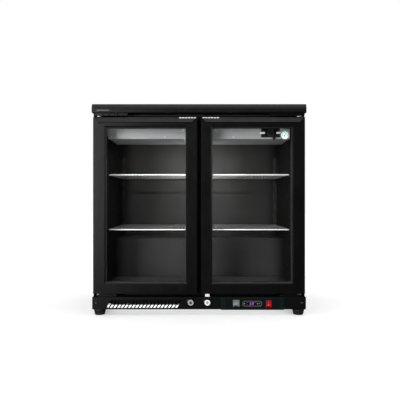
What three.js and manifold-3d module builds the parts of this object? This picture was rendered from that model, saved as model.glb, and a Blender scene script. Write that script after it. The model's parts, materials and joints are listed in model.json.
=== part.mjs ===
// Undercounter refrigerator with two glass doors. Millimetres, +Z up, doors face -Y.
// The origin is on the floor, below the middle of the worktop.
import * as THREE from 'three';
import { mergeVertices } from 'three/addons/utils/BufferGeometryUtils.js';
import Module from 'manifold-3d';

const wasm = await Module();
wasm.setup();

// ---- Driving dimensions -------------------------------------------------------------------

const WIDTH = 900;
const DEPTH = 520;
const HEIGHT = 887;
const GAP = 0.3;                 // between pieces that rest on each other
const SHEET = 2;                 // folded steel sheet
const THIN_SHEET = 1.5;
const PAST = 5;                  // how far a cutting tool runs past the piece it cuts

// Cabinet box
const BASE_Z = 25;               // underside of the kick panel and of the side panels
const SIDE_X = 444;              // outer face of the side panels
const FACE_Y = -204;             // cabinet face that the door gaskets seal on
const FACE_PLATE = 3;
const FACE_LOW_Z = 38;           // lower edge of the face below the cold space
const REAR_Y = 249;              // outer face of the rear panel
const FOAM_X = SIDE_X - SHEET - GAP;
const FOAM_FRONT_Y = FACE_Y + FACE_PLATE + GAP;
const FOAM_REAR_Y = REAR_Y - SHEET - GAP;
const FLOOR_FOAM_Z = 80;         // underside of the foam below the cold space
const PANEL_TOP_Z = 850;
const EAR_Y = -250;              // the side panels reach forward past the doors' ends
const EAR_LOW_Z = 88;
const EAR_HIGH_Z = 836;

// Worktop
const TOP_LOW_Z = 850.5;
const TOP_BEVEL_Z = 871;
const TOP_BEVEL = 8;
const TOP_WALL = 3;              // folded edge
const TOP_SKIN = 2;              // sheet over the foam
const CROWN_X = 440;             // foam that stands up into the worktop

// Cold space, inside the liner
const ROOM_X = 404;
const ROOM_LOW_Z = 116;
const ROOM_HIGH_Z = 806;
const ROOM_REAR_Y = 206;
const STEP_Y = 20;               // front of the step over the compressor space
const STEP_Z = 300;
const MACHINE_Y = 60;            // front of the compressor space
const MACHINE_Z = 262;
const MOUTH_X = 402;             // opening in the cabinet face
const MOUTH_LOW_Z = 118;
const MOUTH_HIGH_Z = 804;
const MULLION_X = 38;
const MULLION_Y = -184;
const AIR_SLOTS = 11;            // along the rear wall, just above the step
const AIR_SLOT_PITCH = 69;
const AIR_SLOT_WIDTH = 56;
const AIR_SLOT_Z = [318, 324];
const AIR_SLOT_DEPTH = 12;

// Doors
const DOOR_FRONT_Y = -254;
const DOOR_BACK_Y = -214;
const DOOR_INNER_X = 8.5;        // meeting edge, from the middle of the cabinet
const DOOR_OUTER_X = 445;
const DOOR_LOW_Z = 90;
const DOOR_HIGH_Z = 834;
const PANE_INNER_X = 54.5;       // window opening
const PANE_OUTER_X = 393;
const PANE_LOW_Z = 136;
const PANE_HIGH_Z = 791;
const PANE_REBATE = 12;          // how far the glass goes into the frame
const PANE_THICK = 4;
const UNIT_FRONT_Y = -246;       // double glazed unit
const UNIT_BACK_Y = -222;
const SEAL_WIDTH = 12;
const SEAL_OUTER_X = 419;
const SEAL_INNER_X = 15;
const SEAL_LOW_Z = 96;
const SEAL_HIGH_Z = 828;

// Each door's top rail leans back above a groove, and has a finger channel behind its lip.
const SLOPE_LOW_Z = 811;
const SLOPE_DEPTH = 8;
const GROOVE_LOW_Z = 805;
const GROOVE_DEPTH = 6;
const CHANNEL_X = [24, 398];
const CHANNEL_Y = [-243.5, -226];
const CHANNEL_LOW_Z = 818;

// Door hinges
const PIVOT_X = 422.5;
const PIVOT_Y = -240;
const PIN_R = 5;
const PIN_HOLE_R = 5.6;
const PIN_DEPTH = 12;
const COLLAR_R = 8.5;
const COLLAR_GAP = 0.5;          // between the collar and the door
const HINGE_X = [336, 437];
const HINGE_FRONT_Y = -250;
const HINGE_CORNER = 12;
const LEAF_THICK = 3;
const UPPER_LEDGE_Z = [838.5, 841.5];
const LOWER_LEDGE_Z = [80, 84];
const LOWER_LEAF_Z = 58;
const HINGE_LIP_Z = [77, 88];    // upright lip along the lower ledge's front
const APRON_X = [300, 441.5];    // upright plate along the upper ledge's front
const APRON_THICK = 2;
const APRON_HOLES_X = [342, 355, 378, 401];
const APRON_HOLE_R = 2.5;

// Shelves
const SHELF_Z = [354, 594];
const SHELF_THICK = 6;
const SHELF_X = 396;
const SHELF_FRONT_Y = -174;
const SHELF_BACK_Y = 196;
const SHELF_RIM = 7;
const WIRE_PITCH = 15.6;
const WIRE_WIDTH = 3.6;
const STRIP_Z = [330, 700];
const STRIP_THICK = 3;
const STRIP_WIDTH = 18;
const STRIP_FRONT_Y = -176;      // front edge of the strips on the side walls
const CLIP_REACH = 11;
const CLIP_WIDTH = 10;
const CLIP_THICK = 3;

// Kick panel and what it carries
const KICK_X = 448.7;
const KICK_TOP_Z = 76;
const KICK_BACK_Y = -215;        // rear edge of its ledge and of its ends
const TAB_X = 385;               // inner end of the tabs that hold the front feet
const TAB_THICK = 3;
const SLOT_COUNT = 20;
const SLOT_PITCH = 15.2;
const SLOT_LOW_Z = 31;
const SLOT_HIGH_Z = 64;
const SLOT_START_X = -391;
const SLOT_LEAN = 22;            // how far a slot's upper end leans to the right
const SLOT_WIDTH = 9.6;
const PANEL_X = [92, 357];       // control panel
const PANEL_Z = [23, 75.5];
const PANEL_MOUTH_X = [112, 338];
const PANEL_MOUTH_Z = [31, 70];
const LOCK_X = 35;
const LOCK_Z = 53;
const BOLT_LIFT = 16;
const BOLT_WIDTH = 18.4;
const BOLT_LENGTH = 45;
const BOLT_Y = [-241.5, -237.5];
const BOLT_CLEAR = 0.7;          // round the bolt where it passes the kick panel's ledge

// Base pan
const PAN_THICK = 3;
const PAN_FRONT_Y = 20;          // front of its full width
const PAN_NOSE_X = TAB_X - GAP;  // half width of the nose that runs to the kick panel
const PAN_LIP_X = -62;           // right end of the lip behind the slots
const PAN_LIP_Z = 43;
const PAN_TOP_Z = BASE_Z + PAN_THICK + GAP;

// Levelling feet
const FOOT_X = 421;
const FOOT_Y = { front: -230, rear: 215 };
const FOOT_HOLE_R = 6.6;
const FOOT_STEM_R = 6;
const FOOT_STEM_TOP_Z = 40;
const FOOT_NECK_R = 22;
const FOOT_RIM_R = 25.5;
const FOOT_RIM_Z = [19, 21];
const FOOT_BASE_R = 21;

// ---- Solids ---------------------------------------------------------------------------------

function bare(geometry) {
  const copy = geometry.clone();
  copy.deleteAttribute('normal');
  copy.deleteAttribute('uv');
  return mergeVertices(copy, 1e-4);
}

function toSolid(geometry) {
  const merged = bare(geometry);
  return new wasm.Manifold(new wasm.Mesh({
    numProp: 3,
    vertProperties: new Float32Array(merged.attributes.position.array),
    triVerts: new Uint32Array(merged.index.array),
  }));
}

function toGeometry(solid) {
  const mesh = solid.getMesh();
  const geometry = new THREE.BufferGeometry();
  geometry.setAttribute('position', new THREE.BufferAttribute(mesh.vertProperties, 3));
  geometry.setIndex(new THREE.BufferAttribute(mesh.triVerts, 1));
  return geometry;
}

function cut(body, ...tools) {
  return toGeometry(tools.reduce((rest, tool) => rest.subtract(toSolid(tool)), toSolid(body)));
}

function join(body, ...others) {
  return toGeometry(others.reduce((sum, other) => sum.add(toSolid(other)), toSolid(body)));
}

function common(body, other) {
  return toGeometry(toSolid(body).intersect(toSolid(other)));
}

function box(x0, x1, y0, y1, z0, z1) {
  const geometry = new THREE.BoxGeometry(x1 - x0, y1 - y0, z1 - z0);
  return geometry.translate((x0 + x1) / 2, (y0 + y1) / 2, (z0 + z1) / 2);
}

// A box given by its distances from the middle plane, on the left (side -1) or the right (side 1).
function sideBox(side, near, far, y0, y1, z0, z1) {
  const ends = [side * near, side * far].sort((a, b) => a - b);
  return box(ends[0], ends[1], y0, y1, z0, z1);
}

function outline(points) {
  return new THREE.Shape(points.map(([u, v]) => new THREE.Vector2(u, v)));
}

function extrude(shape, length, curveSegments = 6) {
  return new THREE.ExtrudeGeometry(shape, { depth: length, bevelEnabled: false, curveSegments });
}

// Outline in (y, z), extruded along X.
function extrudeX(points, x0, x1) {
  const axes = new THREE.Matrix4().makeBasis(
    new THREE.Vector3(0, 1, 0), new THREE.Vector3(0, 0, 1), new THREE.Vector3(1, 0, 0));
  return extrude(outline(points), x1 - x0).applyMatrix4(axes).translate(x0, 0, 0);
}

// Shape in (x, z), extruded along Y.
function extrudeY(shape, y0, y1, curveSegments) {
  return extrude(shape, y1 - y0, curveSegments).rotateX(Math.PI / 2).translate(0, y1, 0);
}

// Shape in (x, y), extruded along Z.
function extrudeZ(shape, z0, z1, curveSegments) {
  return extrude(shape, z1 - z0, curveSegments).translate(0, 0, z0);
}

// Profile of (radius, height) points, turned about the Z axis.
function turnZ(profile, x, y, sides = 20) {
  const points = profile.map(([r, z]) => new THREE.Vector2(r, z));
  return new THREE.LatheGeometry(points, sides).rotateX(Math.PI / 2).translate(x, y, 0);
}

// Profile of (radius, depth) points, turned about the Y axis, with the depth along +Y.
function turnY(profile, x, z, sides = 20) {
  const points = profile.map(([r, y]) => new THREE.Vector2(r, y));
  return new THREE.LatheGeometry(points, sides).translate(x, 0, z);
}

function discZ(radius, x, y, z0, z1, sides) {
  return turnZ([[0, z0], [radius, z0], [radius, z1], [0, z1]], x, y, sides);
}

function discY(radius, x, z, y0, y1, sides) {
  return turnY([[0, y0], [radius, y0], [radius, y1], [0, y1]], x, z, sides);
}

function roundedRect(x0, x1, v0, v1, radius) {
  const shape = new THREE.Shape();
  shape.moveTo(x0 + radius, v0);
  shape.lineTo(x1 - radius, v0);
  shape.absarc(x1 - radius, v0 + radius, radius, -Math.PI / 2, 0, false);
  shape.lineTo(x1, v1 - radius);
  shape.absarc(x1 - radius, v1 - radius, radius, 0, Math.PI / 2, false);
  shape.lineTo(x0 + radius, v1);
  shape.absarc(x0 + radius, v1 - radius, radius, Math.PI / 2, Math.PI, false);
  shape.lineTo(x0, v0 + radius);
  shape.absarc(x0 + radius, v0 + radius, radius, Math.PI, Math.PI * 1.5, false);
  return shape;
}

// ---- Materials and the scene graph ----------------------------------------------------------

function finish(color, roughness, metalness, opacity = 1) {
  return new THREE.MeshStandardMaterial({
    color, roughness, metalness, opacity, transparent: opacity < 1,
  });
}

const blackSteel = finish(0x1e2020, 0.45, 0.2);
const blackFrame = finish(0x242626, 0.4, 0.2);
const blackPlastic = finish(0x141516, 0.5, 0);
const greyPlastic = finish(0x8f9192, 0.45, 0);
const redPlastic = finish(0xc01818, 0.35, 0);
const glassFinish = finish(0xdfe8e6, 0.05, 0, 0.25);
const rubberFinish = finish(0x161617, 0.8, 0);
const foamFinish = finish(0xd8cfa8, 0.9, 0);
const linerFinish = finish(0x4a4c4d, 0.5, 0.3);
const paleSteel = finish(0xb6b9ba, 0.4, 0.4);
const wireFinish = finish(0xe6e8e8, 0.3, 0.3);
const steelFinish = finish(0xc8cacb, 0.25, 0.9);
const finAluminium = finish(0xa9acad, 0.35, 0.8);
const lampFinish = finish(0xf4f6f2, 0.4, 0);
const panelFinish = finish(0x101a1a, 0.35, 0.1);

const fridge = new THREE.Group();
fridge.name = 'undercounter_refrigerator';

function group(name) {
  const part = new THREE.Group();
  part.name = name;
  fridge.add(part);
  return part;
}

function add(parent, name, geometry, material) {
  const mesh = new THREE.Mesh(geometry, material);
  mesh.name = name;
  parent.add(mesh);
  return mesh;
}

const cabinet = group('cabinet_pieces');
const cooling = group('cooling_pieces');
const controls = group('control_pieces');

const SIDES = [['left', -1], ['right', 1]];

// ---- Cabinet --------------------------------------------------------------------------------

function worktop() {
  const halfX = WIDTH / 2;
  const halfY = DEPTH / 2;
  const inX = halfX - TOP_WALL;
  const inY = halfY - TOP_WALL;
  const crownY = FACE_Y + SHEET;
  const lipTop = TOP_BEVEL_Z - TOP_WALL;
  const slab = extrudeX([
    [-halfY, TOP_LOW_Z], [halfY, TOP_LOW_Z], [halfY, TOP_BEVEL_Z],
    [halfY - TOP_BEVEL, HEIGHT], [-halfY + TOP_BEVEL, HEIGHT], [-halfY, TOP_BEVEL_Z],
  ], -halfX, halfX);
  const lipPocket = box(-inX, inX, -inY, inY, TOP_LOW_Z + SHEET, lipTop);
  const mouth = box(-inX + 1, inX - 1, crownY, inY, TOP_LOW_Z - PAST, TOP_LOW_Z + SHEET + 1);
  const crownPocket = box(-CROWN_X, CROWN_X, crownY, FOAM_REAR_Y, lipTop - 1, HEIGHT - TOP_SKIN);
  return cut(slab, lipPocket, mouth, crownPocket);
}

function sidePanel(side) {
  const profile = [
    [EAR_Y, BASE_Z], [REAR_Y, BASE_Z], [REAR_Y, PANEL_TOP_Z], [EAR_Y, PANEL_TOP_Z],
    [EAR_Y, EAR_HIGH_Z], [FACE_Y, EAR_HIGH_Z], [FACE_Y, EAR_LOW_Z], [EAR_Y, EAR_LOW_Z],
  ];
  const x0 = side < 0 ? -SIDE_X : SIDE_X - SHEET;
  return extrudeX(profile, x0, x0 + SHEET);
}

// Outline in (y, z) of the cold space, grown by offset behind the cabinet face.
function roomOutline(offset) {
  const front = FACE_Y - PAST;
  return [
    [front, ROOM_LOW_Z - offset], [STEP_Y + offset, ROOM_LOW_Z - offset],
    [STEP_Y + offset, STEP_Z - offset], [ROOM_REAR_Y + offset, STEP_Z - offset],
    [ROOM_REAR_Y + offset, ROOM_HIGH_Z + offset], [front, ROOM_HIGH_Z + offset],
  ];
}

function airSlots(y0, y1) {
  const tools = [];
  for (let i = 0; i < AIR_SLOTS; i += 1) {
    const x = (i - (AIR_SLOTS - 1) / 2) * AIR_SLOT_PITCH;
    tools.push(box(x - AIR_SLOT_WIDTH / 2, x + AIR_SLOT_WIDTH / 2, y0, y1, ...AIR_SLOT_Z));
  }
  return tools;
}

function insulation() {
  const top = PANEL_TOP_Z - GAP;
  const block = extrudeX([
    [FOAM_FRONT_Y, FLOOR_FOAM_Z], [MACHINE_Y - GAP, FLOOR_FOAM_Z], [MACHINE_Y - GAP, MACHINE_Z],
    [FOAM_REAR_Y, MACHINE_Z], [FOAM_REAR_Y, top], [FOAM_FRONT_Y, top],
  ], -FOAM_X, FOAM_X);
  const crown = box(-CROWN_X + GAP, CROWN_X - GAP, FOAM_FRONT_Y, FOAM_REAR_Y - GAP,
    top - 1, HEIGHT - TOP_SKIN - GAP);
  const clear = THIN_SHEET + GAP;
  const room = extrudeX(roomOutline(clear), -ROOM_X - clear, ROOM_X + clear);
  return cut(join(block, crown), room, ...airSlots(ROOM_REAR_Y, ROOM_REAR_Y + AIR_SLOT_DEPTH));
}

function innerLiner() {
  const skin = extrudeX(roomOutline(THIN_SHEET), -ROOM_X - THIN_SHEET, ROOM_X + THIN_SHEET);
  const ahead = box(-WIDTH, WIDTH, FACE_Y - 2 * PAST, FOAM_FRONT_Y, 0, HEIGHT);
  const room = extrudeX(roomOutline(0), -ROOM_X, ROOM_X);
  return cut(cut(skin, ahead), room, ...airSlots(ROOM_REAR_Y - PAST, ROOM_REAR_Y + PAST));
}

function frontFrame() {
  const plate = box(-FOAM_X, FOAM_X, FACE_Y, FACE_Y + FACE_PLATE, FACE_LOW_Z, PANEL_TOP_Z - GAP);
  return cut(plate,
    box(-MOUTH_X, MOUTH_X, FACE_Y - PAST, FACE_Y + 2 * PAST, MOUTH_LOW_Z, MOUTH_HIGH_Z));
}

function footHole(side, y) {
  return discZ(FOOT_HOLE_R, side * FOOT_X, y, BASE_Z - PAST, BASE_Z + 2 * PAST, 12);
}

// Floor of the compressor space. Its nose runs forward and turns up behind the kick panel's slots.
function basePan() {
  const top = BASE_Z + PAN_THICK;
  const noseY = DOOR_FRONT_Y + SHEET + GAP;
  const floor = box(-FOAM_X, FOAM_X, PAN_FRONT_Y, FOAM_REAR_Y, BASE_Z, top);
  const nose = box(-PAN_NOSE_X, PAN_NOSE_X, noseY, PAN_FRONT_Y + 1, BASE_Z, top);
  const lip = box(-PAN_NOSE_X, PAN_LIP_X, noseY, noseY + SHEET, BASE_Z, PAN_LIP_Z);
  return cut(join(floor, nose, lip), ...SIDES.map(([, side]) => footHole(side, FOOT_Y.rear)));
}

const VENT_ROWS_Z = [70, 130, 190];
const VENT_COUNT = 15;
const VENT_PITCH = 40;
const VENT_START_X = -400;
const VENT_WIDTH = 24;
const VENT_HEIGHT = 44;

function rearGrille() {
  const plate = box(-FOAM_X, FOAM_X, REAR_Y - SHEET, REAR_Y, BASE_Z, MACHINE_Z - GAP);
  const slots = [];
  for (const z of VENT_ROWS_Z) {
    for (let i = 0; i < VENT_COUNT; i += 1) {
      const x = VENT_START_X + i * VENT_PITCH;
      slots.push(box(x, x + VENT_WIDTH, REAR_Y - PAST, REAR_Y + PAST, z, z + VENT_HEIGHT));
    }
  }
  return cut(plate, ...slots);
}

add(cabinet, 'worktop', worktop(), blackSteel);
for (const [word, side] of SIDES) {
  add(cabinet, `side_panel_${word}`, sidePanel(side), blackSteel);
}
add(cabinet, 'rear_panel',
  box(-FOAM_X, FOAM_X, REAR_Y - SHEET, REAR_Y, MACHINE_Z, PANEL_TOP_Z - GAP), paleSteel);
add(cabinet, 'insulation', insulation(), foamFinish);
add(cabinet, 'inner_liner', innerLiner(), linerFinish);
add(cabinet, 'front_frame', frontFrame(), blackSteel);
add(cabinet, 'centre_mullion',
  box(-MULLION_X, MULLION_X, FACE_Y, MULLION_Y, MOUTH_LOW_Z + GAP, MOUTH_HIGH_Z - GAP), blackSteel);
add(cabinet, 'base_pan', basePan(), paleSteel);
add(cabinet, 'rear_grille', rearGrille(), blackSteel);

// ---- Kick panel and feet ----------------------------------------------------------------------

const LOCK_BODY_R = 14.5;
const LOCK_HOLE_R = 14.9;

function kickSlots(y0, y1) {
  const tools = [];
  for (let i = 0; i < SLOT_COUNT; i += 1) {
    const x = SLOT_START_X + i * SLOT_PITCH;
    tools.push(extrudeY(outline([
      [x, SLOT_LOW_Z], [x + SLOT_WIDTH, SLOT_LOW_Z],
      [x + SLOT_WIDTH + SLOT_LEAN, SLOT_HIGH_Z], [x + SLOT_LEAN, SLOT_HIGH_Z],
    ]), y0, y1));
  }
  return tools;
}

function kickPanel() {
  const front = DOOR_FRONT_Y;
  const before = front - PAST;
  const behind = front + PAST;
  const plate = box(-KICK_X, KICK_X, front, front + SHEET, BASE_Z, KICK_TOP_Z);
  const pieces = [box(-FOAM_X, FOAM_X, front, KICK_BACK_Y, KICK_TOP_Z - SHEET, KICK_TOP_Z)];
  const tools = [box(...PANEL_MOUTH_X, before, behind, ...PANEL_MOUTH_Z), ...kickSlots(before, behind)];
  const boltHalf = BOLT_WIDTH / 2 + BOLT_CLEAR;
  for (const [, side] of SIDES) {
    const lockX = side * LOCK_X;
    pieces.push(
      sideBox(side, KICK_X - SHEET, KICK_X, front, KICK_BACK_Y, BASE_Z, KICK_TOP_Z),
      sideBox(side, TAB_X, FOAM_X - SHEET, front, FACE_Y - SHEET, BASE_Z, BASE_Z + TAB_THICK));
    tools.push(
      discY(LOCK_HOLE_R, lockX, LOCK_Z, before, behind, 24),
      box(lockX - boltHalf, lockX + boltHalf, BOLT_Y[0] - BOLT_CLEAR, BOLT_Y[1] + BOLT_CLEAR,
        KICK_TOP_Z - PAST, KICK_TOP_Z + PAST),
      footHole(side, FOOT_Y.front));
  }
  return cut(join(plate, ...pieces), ...tools);
}

// A tapered base with a rim, a neck and a threaded stem.
function foot(x, y) {
  const [rimLow, rimHigh] = FOOT_RIM_Z;
  const neckTop = BASE_Z - GAP;
  return turnZ([
    [0, 0], [FOOT_BASE_R, 0], [FOOT_RIM_R, rimLow], [FOOT_RIM_R, rimHigh],
    [FOOT_NECK_R, rimHigh], [FOOT_NECK_R, neckTop], [FOOT_STEM_R, neckTop],
    [FOOT_STEM_R, FOOT_STEM_TOP_Z], [0, FOOT_STEM_TOP_Z],
  ], x, y, 20);
}

add(cabinet, 'kick_panel', kickPanel(), blackSteel);
for (const [place, y] of Object.entries(FOOT_Y)) {
  for (const [word, side] of SIDES) {
    add(cabinet, `foot_${place}_${word}`, foot(side * FOOT_X, y), blackPlastic);
  }
}

// ---- Door hinges ------------------------------------------------------------------------------

const LEAF_BACK_Y = FACE_Y - GAP;

// Both brackets are a ledge with a pin, a leaf fixed to the cabinet face and an upright front edge.
function hingeLedge(side, z0, z1) {
  const shape = roundedRect(...HINGE_X, HINGE_FRONT_Y, LEAF_BACK_Y, HINGE_CORNER);
  const ledge = extrudeZ(shape, z0, z1, 4);
  return side > 0 ? ledge : ledge.rotateZ(Math.PI).translate(0, HINGE_FRONT_Y + LEAF_BACK_Y, 0);
}

function hingeLeaf(side, z0, z1) {
  return sideBox(side, ...HINGE_X, LEAF_BACK_Y - LEAF_THICK, LEAF_BACK_Y, z0, z1);
}

function upperHinge(side) {
  const [low, high] = UPPER_LEDGE_Z;
  const collar = DOOR_HIGH_Z + COLLAR_GAP;
  const pin = turnZ([
    [0, DOOR_HIGH_Z - PIN_DEPTH], [PIN_R, DOOR_HIGH_Z - PIN_DEPTH], [PIN_R, collar],
    [COLLAR_R, collar], [COLLAR_R, low + 1], [0, low + 1],
  ], side * PIVOT_X, PIVOT_Y, 16);
  const front = HINGE_FRONT_Y - APRON_THICK;
  const apron = sideBox(side, ...APRON_X, front, HINGE_FRONT_Y + GAP, low, PANEL_TOP_Z);
  const holes = APRON_HOLES_X.map((x) => discY(APRON_HOLE_R, side * x, (low + PANEL_TOP_Z) / 2,
    front - PAST, HINGE_FRONT_Y + PAST, 12));
  return cut(join(hingeLedge(side, low, high), hingeLeaf(side, low, PANEL_TOP_Z), pin, apron), ...holes);
}

function lowerHinge(side) {
  const [low, high] = LOWER_LEDGE_Z;
  const collar = DOOR_LOW_Z - COLLAR_GAP;
  const pin = turnZ([
    [0, high - 1], [COLLAR_R, high - 1], [COLLAR_R, collar], [PIN_R, collar],
    [PIN_R, DOOR_LOW_Z + PIN_DEPTH], [0, DOOR_LOW_Z + PIN_DEPTH],
  ], side * PIVOT_X, PIVOT_Y, 16);
  const lip = sideBox(side, HINGE_X[0] + HINGE_CORNER, HINGE_X[1] - HINGE_CORNER,
    HINGE_FRONT_Y, HINGE_FRONT_Y + SHEET, ...HINGE_LIP_Z);
  return join(hingeLedge(side, low, high), hingeLeaf(side, LOWER_LEAF_Z, high), pin, lip);
}

for (const [word, side] of SIDES) {
  add(cabinet, `upper_hinge_${word}`, upperHinge(side), blackSteel);
  add(cabinet, `lower_hinge_${word}`, lowerHinge(side), blackSteel);
}

// ---- Doors ------------------------------------------------------------------------------------

const SLOPE_RISE = DOOR_HIGH_Z - SLOPE_LOW_Z;

// What the leaning front of the top rail leaves off, up to the mitres at the rail's two ends.
function topSlope(side) {
  const past = DOOR_HIGH_Z + 1;
  const wedge = extrudeX([
    [DOOR_FRONT_Y - 1, SLOPE_LOW_Z], [DOOR_FRONT_Y, SLOPE_LOW_Z],
    [DOOR_FRONT_Y + SLOPE_DEPTH, DOOR_HIGH_Z], [DOOR_FRONT_Y + SLOPE_DEPTH, past],
    [DOOR_FRONT_Y - 1, past],
  ], -WIDTH, WIDTH);
  const inner = side * DOOR_INNER_X;
  const outer = side * DOOR_OUTER_X;
  const rise = side * SLOPE_RISE;
  const corners = [
    [outer + side, past], [outer - rise, SLOPE_LOW_Z], [inner + rise, SLOPE_LOW_Z],
    [inner - side, past],
  ];
  const mitred = extrudeY(outline(side > 0 ? corners.reverse() : corners),
    DOOR_FRONT_Y - PAST, DOOR_FRONT_Y + SLOPE_DEPTH + PAST);
  return common(wedge, mitred);
}

function doorFrame(side) {
  const slab = sideBox(side, DOOR_INNER_X, DOOR_OUTER_X, DOOR_FRONT_Y, DOOR_BACK_Y,
    DOOR_LOW_Z, DOOR_HIGH_Z);
  const window = sideBox(side, PANE_INNER_X, PANE_OUTER_X, DOOR_FRONT_Y - PAST, DOOR_BACK_Y + PAST,
    PANE_LOW_Z, PANE_HIGH_Z);
  const reach = PANE_REBATE + GAP;
  const rebate = sideBox(side, PANE_INNER_X - reach, PANE_OUTER_X + reach,
    UNIT_FRONT_Y - GAP, UNIT_BACK_Y + GAP, PANE_LOW_Z - reach, PANE_HIGH_Z + reach);
  const groove = sideBox(side, DOOR_INNER_X + SLOPE_RISE, DOOR_OUTER_X - SLOPE_RISE,
    DOOR_FRONT_Y - PAST, DOOR_FRONT_Y + GROOVE_DEPTH, GROOVE_LOW_Z, SLOPE_LOW_Z + 0.5);
  const channel = sideBox(side, ...CHANNEL_X, ...CHANNEL_Y, CHANNEL_LOW_Z, DOOR_HIGH_Z + PAST);
  const pinHole = (z0, z1) => discZ(PIN_HOLE_R, side * PIVOT_X, PIVOT_Y, z0, z1, 16);
  return cut(slab, window, rebate, topSlope(side), groove, channel,
    pinHole(DOOR_LOW_Z - PAST, DOOR_LOW_Z + PIN_DEPTH + 1),
    pinHole(DOOR_HIGH_Z - PIN_DEPTH - 1, DOOR_HIGH_Z + PAST));
}

function pane(side, y0) {
  return sideBox(side, PANE_INNER_X - PANE_REBATE, PANE_OUTER_X + PANE_REBATE, y0, y0 + PANE_THICK,
    PANE_LOW_Z - PANE_REBATE, PANE_HIGH_Z + PANE_REBATE);
}

function gasket(side) {
  const y0 = DOOR_BACK_Y + GAP;
  const y1 = FACE_Y - GAP;
  const ring = sideBox(side, SEAL_INNER_X, SEAL_OUTER_X, y0, y1, SEAL_LOW_Z, SEAL_HIGH_Z);
  return cut(ring, sideBox(side, SEAL_INNER_X + SEAL_WIDTH, SEAL_OUTER_X - SEAL_WIDTH,
    y0 - PAST, y1 + PAST, SEAL_LOW_Z + SEAL_WIDTH, SEAL_HIGH_Z - SEAL_WIDTH));
}

for (const [word, side] of SIDES) {
  const door = group(`door_${word}_pieces`);
  add(door, `door_${word}_frame`, doorFrame(side), blackFrame);
  add(door, `door_${word}_outer_glass`, pane(side, UNIT_FRONT_Y), glassFinish);
  add(door, `door_${word}_inner_glass`, pane(side, UNIT_BACK_Y - PANE_THICK), glassFinish);
  add(door, `door_${word}_gasket`, gasket(side), rubberFinish);
}

// ---- Shelves ----------------------------------------------------------------------------------

function shelf(z) {
  const low = z - SHELF_THICK / 2;
  const sheet = box(-SHELF_X, SHELF_X, SHELF_FRONT_Y, SHELF_BACK_Y, low, low + SHELF_THICK);
  const inside = 2 * (SHELF_X - SHELF_RIM);
  const count = Math.round(inside / WIRE_PITCH);
  const pitch = (inside + WIRE_WIDTH) / count;
  const gaps = [];
  for (let i = 0; i < count; i += 1) {
    const x = -SHELF_X + SHELF_RIM + i * pitch;
    gaps.push(box(x, x + pitch - WIRE_WIDTH, SHELF_FRONT_Y + SHELF_RIM, SHELF_BACK_Y - SHELF_RIM,
      low - PAST, low + SHELF_THICK + PAST));
  }
  return cut(sheet, ...gaps);
}

const STRIP_X = ROOM_X - GAP;
const STRIP_Y = ROOM_REAR_Y - GAP;

// Uprights with a clip for each shelf, on the side walls (front) and on the rear wall (rear).
function frontStrip(side) {
  const y = STRIP_FRONT_Y + (STRIP_WIDTH - CLIP_WIDTH) / 2;
  const strip = sideBox(side, STRIP_X - STRIP_THICK, STRIP_X,
    STRIP_FRONT_Y, STRIP_FRONT_Y + STRIP_WIDTH, ...STRIP_Z);
  return join(strip, ...clipHeights().map(([low, high]) => sideBox(side,
    STRIP_X - STRIP_THICK - CLIP_REACH, STRIP_X - 1, y, y + CLIP_WIDTH, low, high)));
}

function rearStrip(side) {
  const outer = STRIP_X - 1;
  const x = outer - (STRIP_WIDTH - CLIP_WIDTH) / 2;
  const strip = sideBox(side, outer - STRIP_WIDTH, outer, STRIP_Y - STRIP_THICK, STRIP_Y, ...STRIP_Z);
  return join(strip, ...clipHeights().map(([low, high]) => sideBox(side,
    x - CLIP_WIDTH, x, STRIP_Y - STRIP_THICK - CLIP_REACH, STRIP_Y - 1, low, high)));
}

function clipHeights() {
  return SHELF_Z.map((z) => {
    const top = z - SHELF_THICK / 2 - GAP;
    return [top - CLIP_THICK, top];
  });
}

['lower', 'upper'].forEach((word, i) => add(cabinet, `shelf_${word}`, shelf(SHELF_Z[i]), wireFinish));
for (const [word, side] of SIDES) {
  add(cabinet, `shelf_strip_front_${word}`, frontStrip(side), paleSteel);
  add(cabinet, `shelf_strip_rear_${word}`, rearStrip(side), paleSteel);
}

// ---- Evaporator and lamp under the ceiling ------------------------------------------------------

const COVER_X = 398;
const COVER_FRONT_Y = -170;
const COVER_BACK_Y = 40;
const COVER_LOW_Z = 752;
const COVER_HIGH_Z = ROOM_HIGH_Z - GAP;
const FAN_X = 313;
const FAN_Z = 778;
const FAN_MOUTH_X = 41;          // half width of the mouth in the cover
const FAN_MOUTH_Z = [758.5, 797.5];
const FAN_MOTOR_R = 18;
const FAN_MOTOR_Y = [-176, -150];
const ARM_THICK = 3;
const ARM_HALF = 4;

function evaporatorCover() {
  const shell = box(-COVER_X, COVER_X, COVER_FRONT_Y, COVER_BACK_Y, COVER_LOW_Z, COVER_HIGH_Z);
  const hollow = box(-COVER_X + THIN_SHEET, COVER_X - THIN_SHEET, COVER_FRONT_Y + THIN_SHEET,
    COVER_BACK_Y + PAST, COVER_LOW_Z + THIN_SHEET, COVER_HIGH_Z + PAST);
  const fanMouth = box(FAN_X - FAN_MOUTH_X, FAN_X + FAN_MOUTH_X,
    COVER_FRONT_Y - PAST, COVER_FRONT_Y + PAST, ...FAN_MOUTH_Z);
  return cut(shell, hollow, fanMouth);
}

// Fin pack: a base with a row of upright fins along X.
function finPack(x0, x1, y0, y1, z0, z1, fins) {
  const step = (x1 - x0) / fins;
  const fin = step * 0.3;
  const root = z0 + 4;
  const points = [[x1, z0], [x0, z0]];
  for (let i = 0; i < fins; i += 1) {
    const x = x0 + i * step;
    points.push([x, z1], [x + fin, z1], [x + fin, root], [x + step, root]);
  }
  return extrudeY(outline(points.reverse()), y0, y1);
}

// A round can with a bar across it.
function fanMotor(x, z, radius, y0, y1, armX, armY0, armY1) {
  const can = discY(radius, x, z, y0, y1, 20);
  return join(can, box(x - armX, x + armX, armY0, armY1, z - ARM_HALF, z + ARM_HALF));
}

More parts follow.
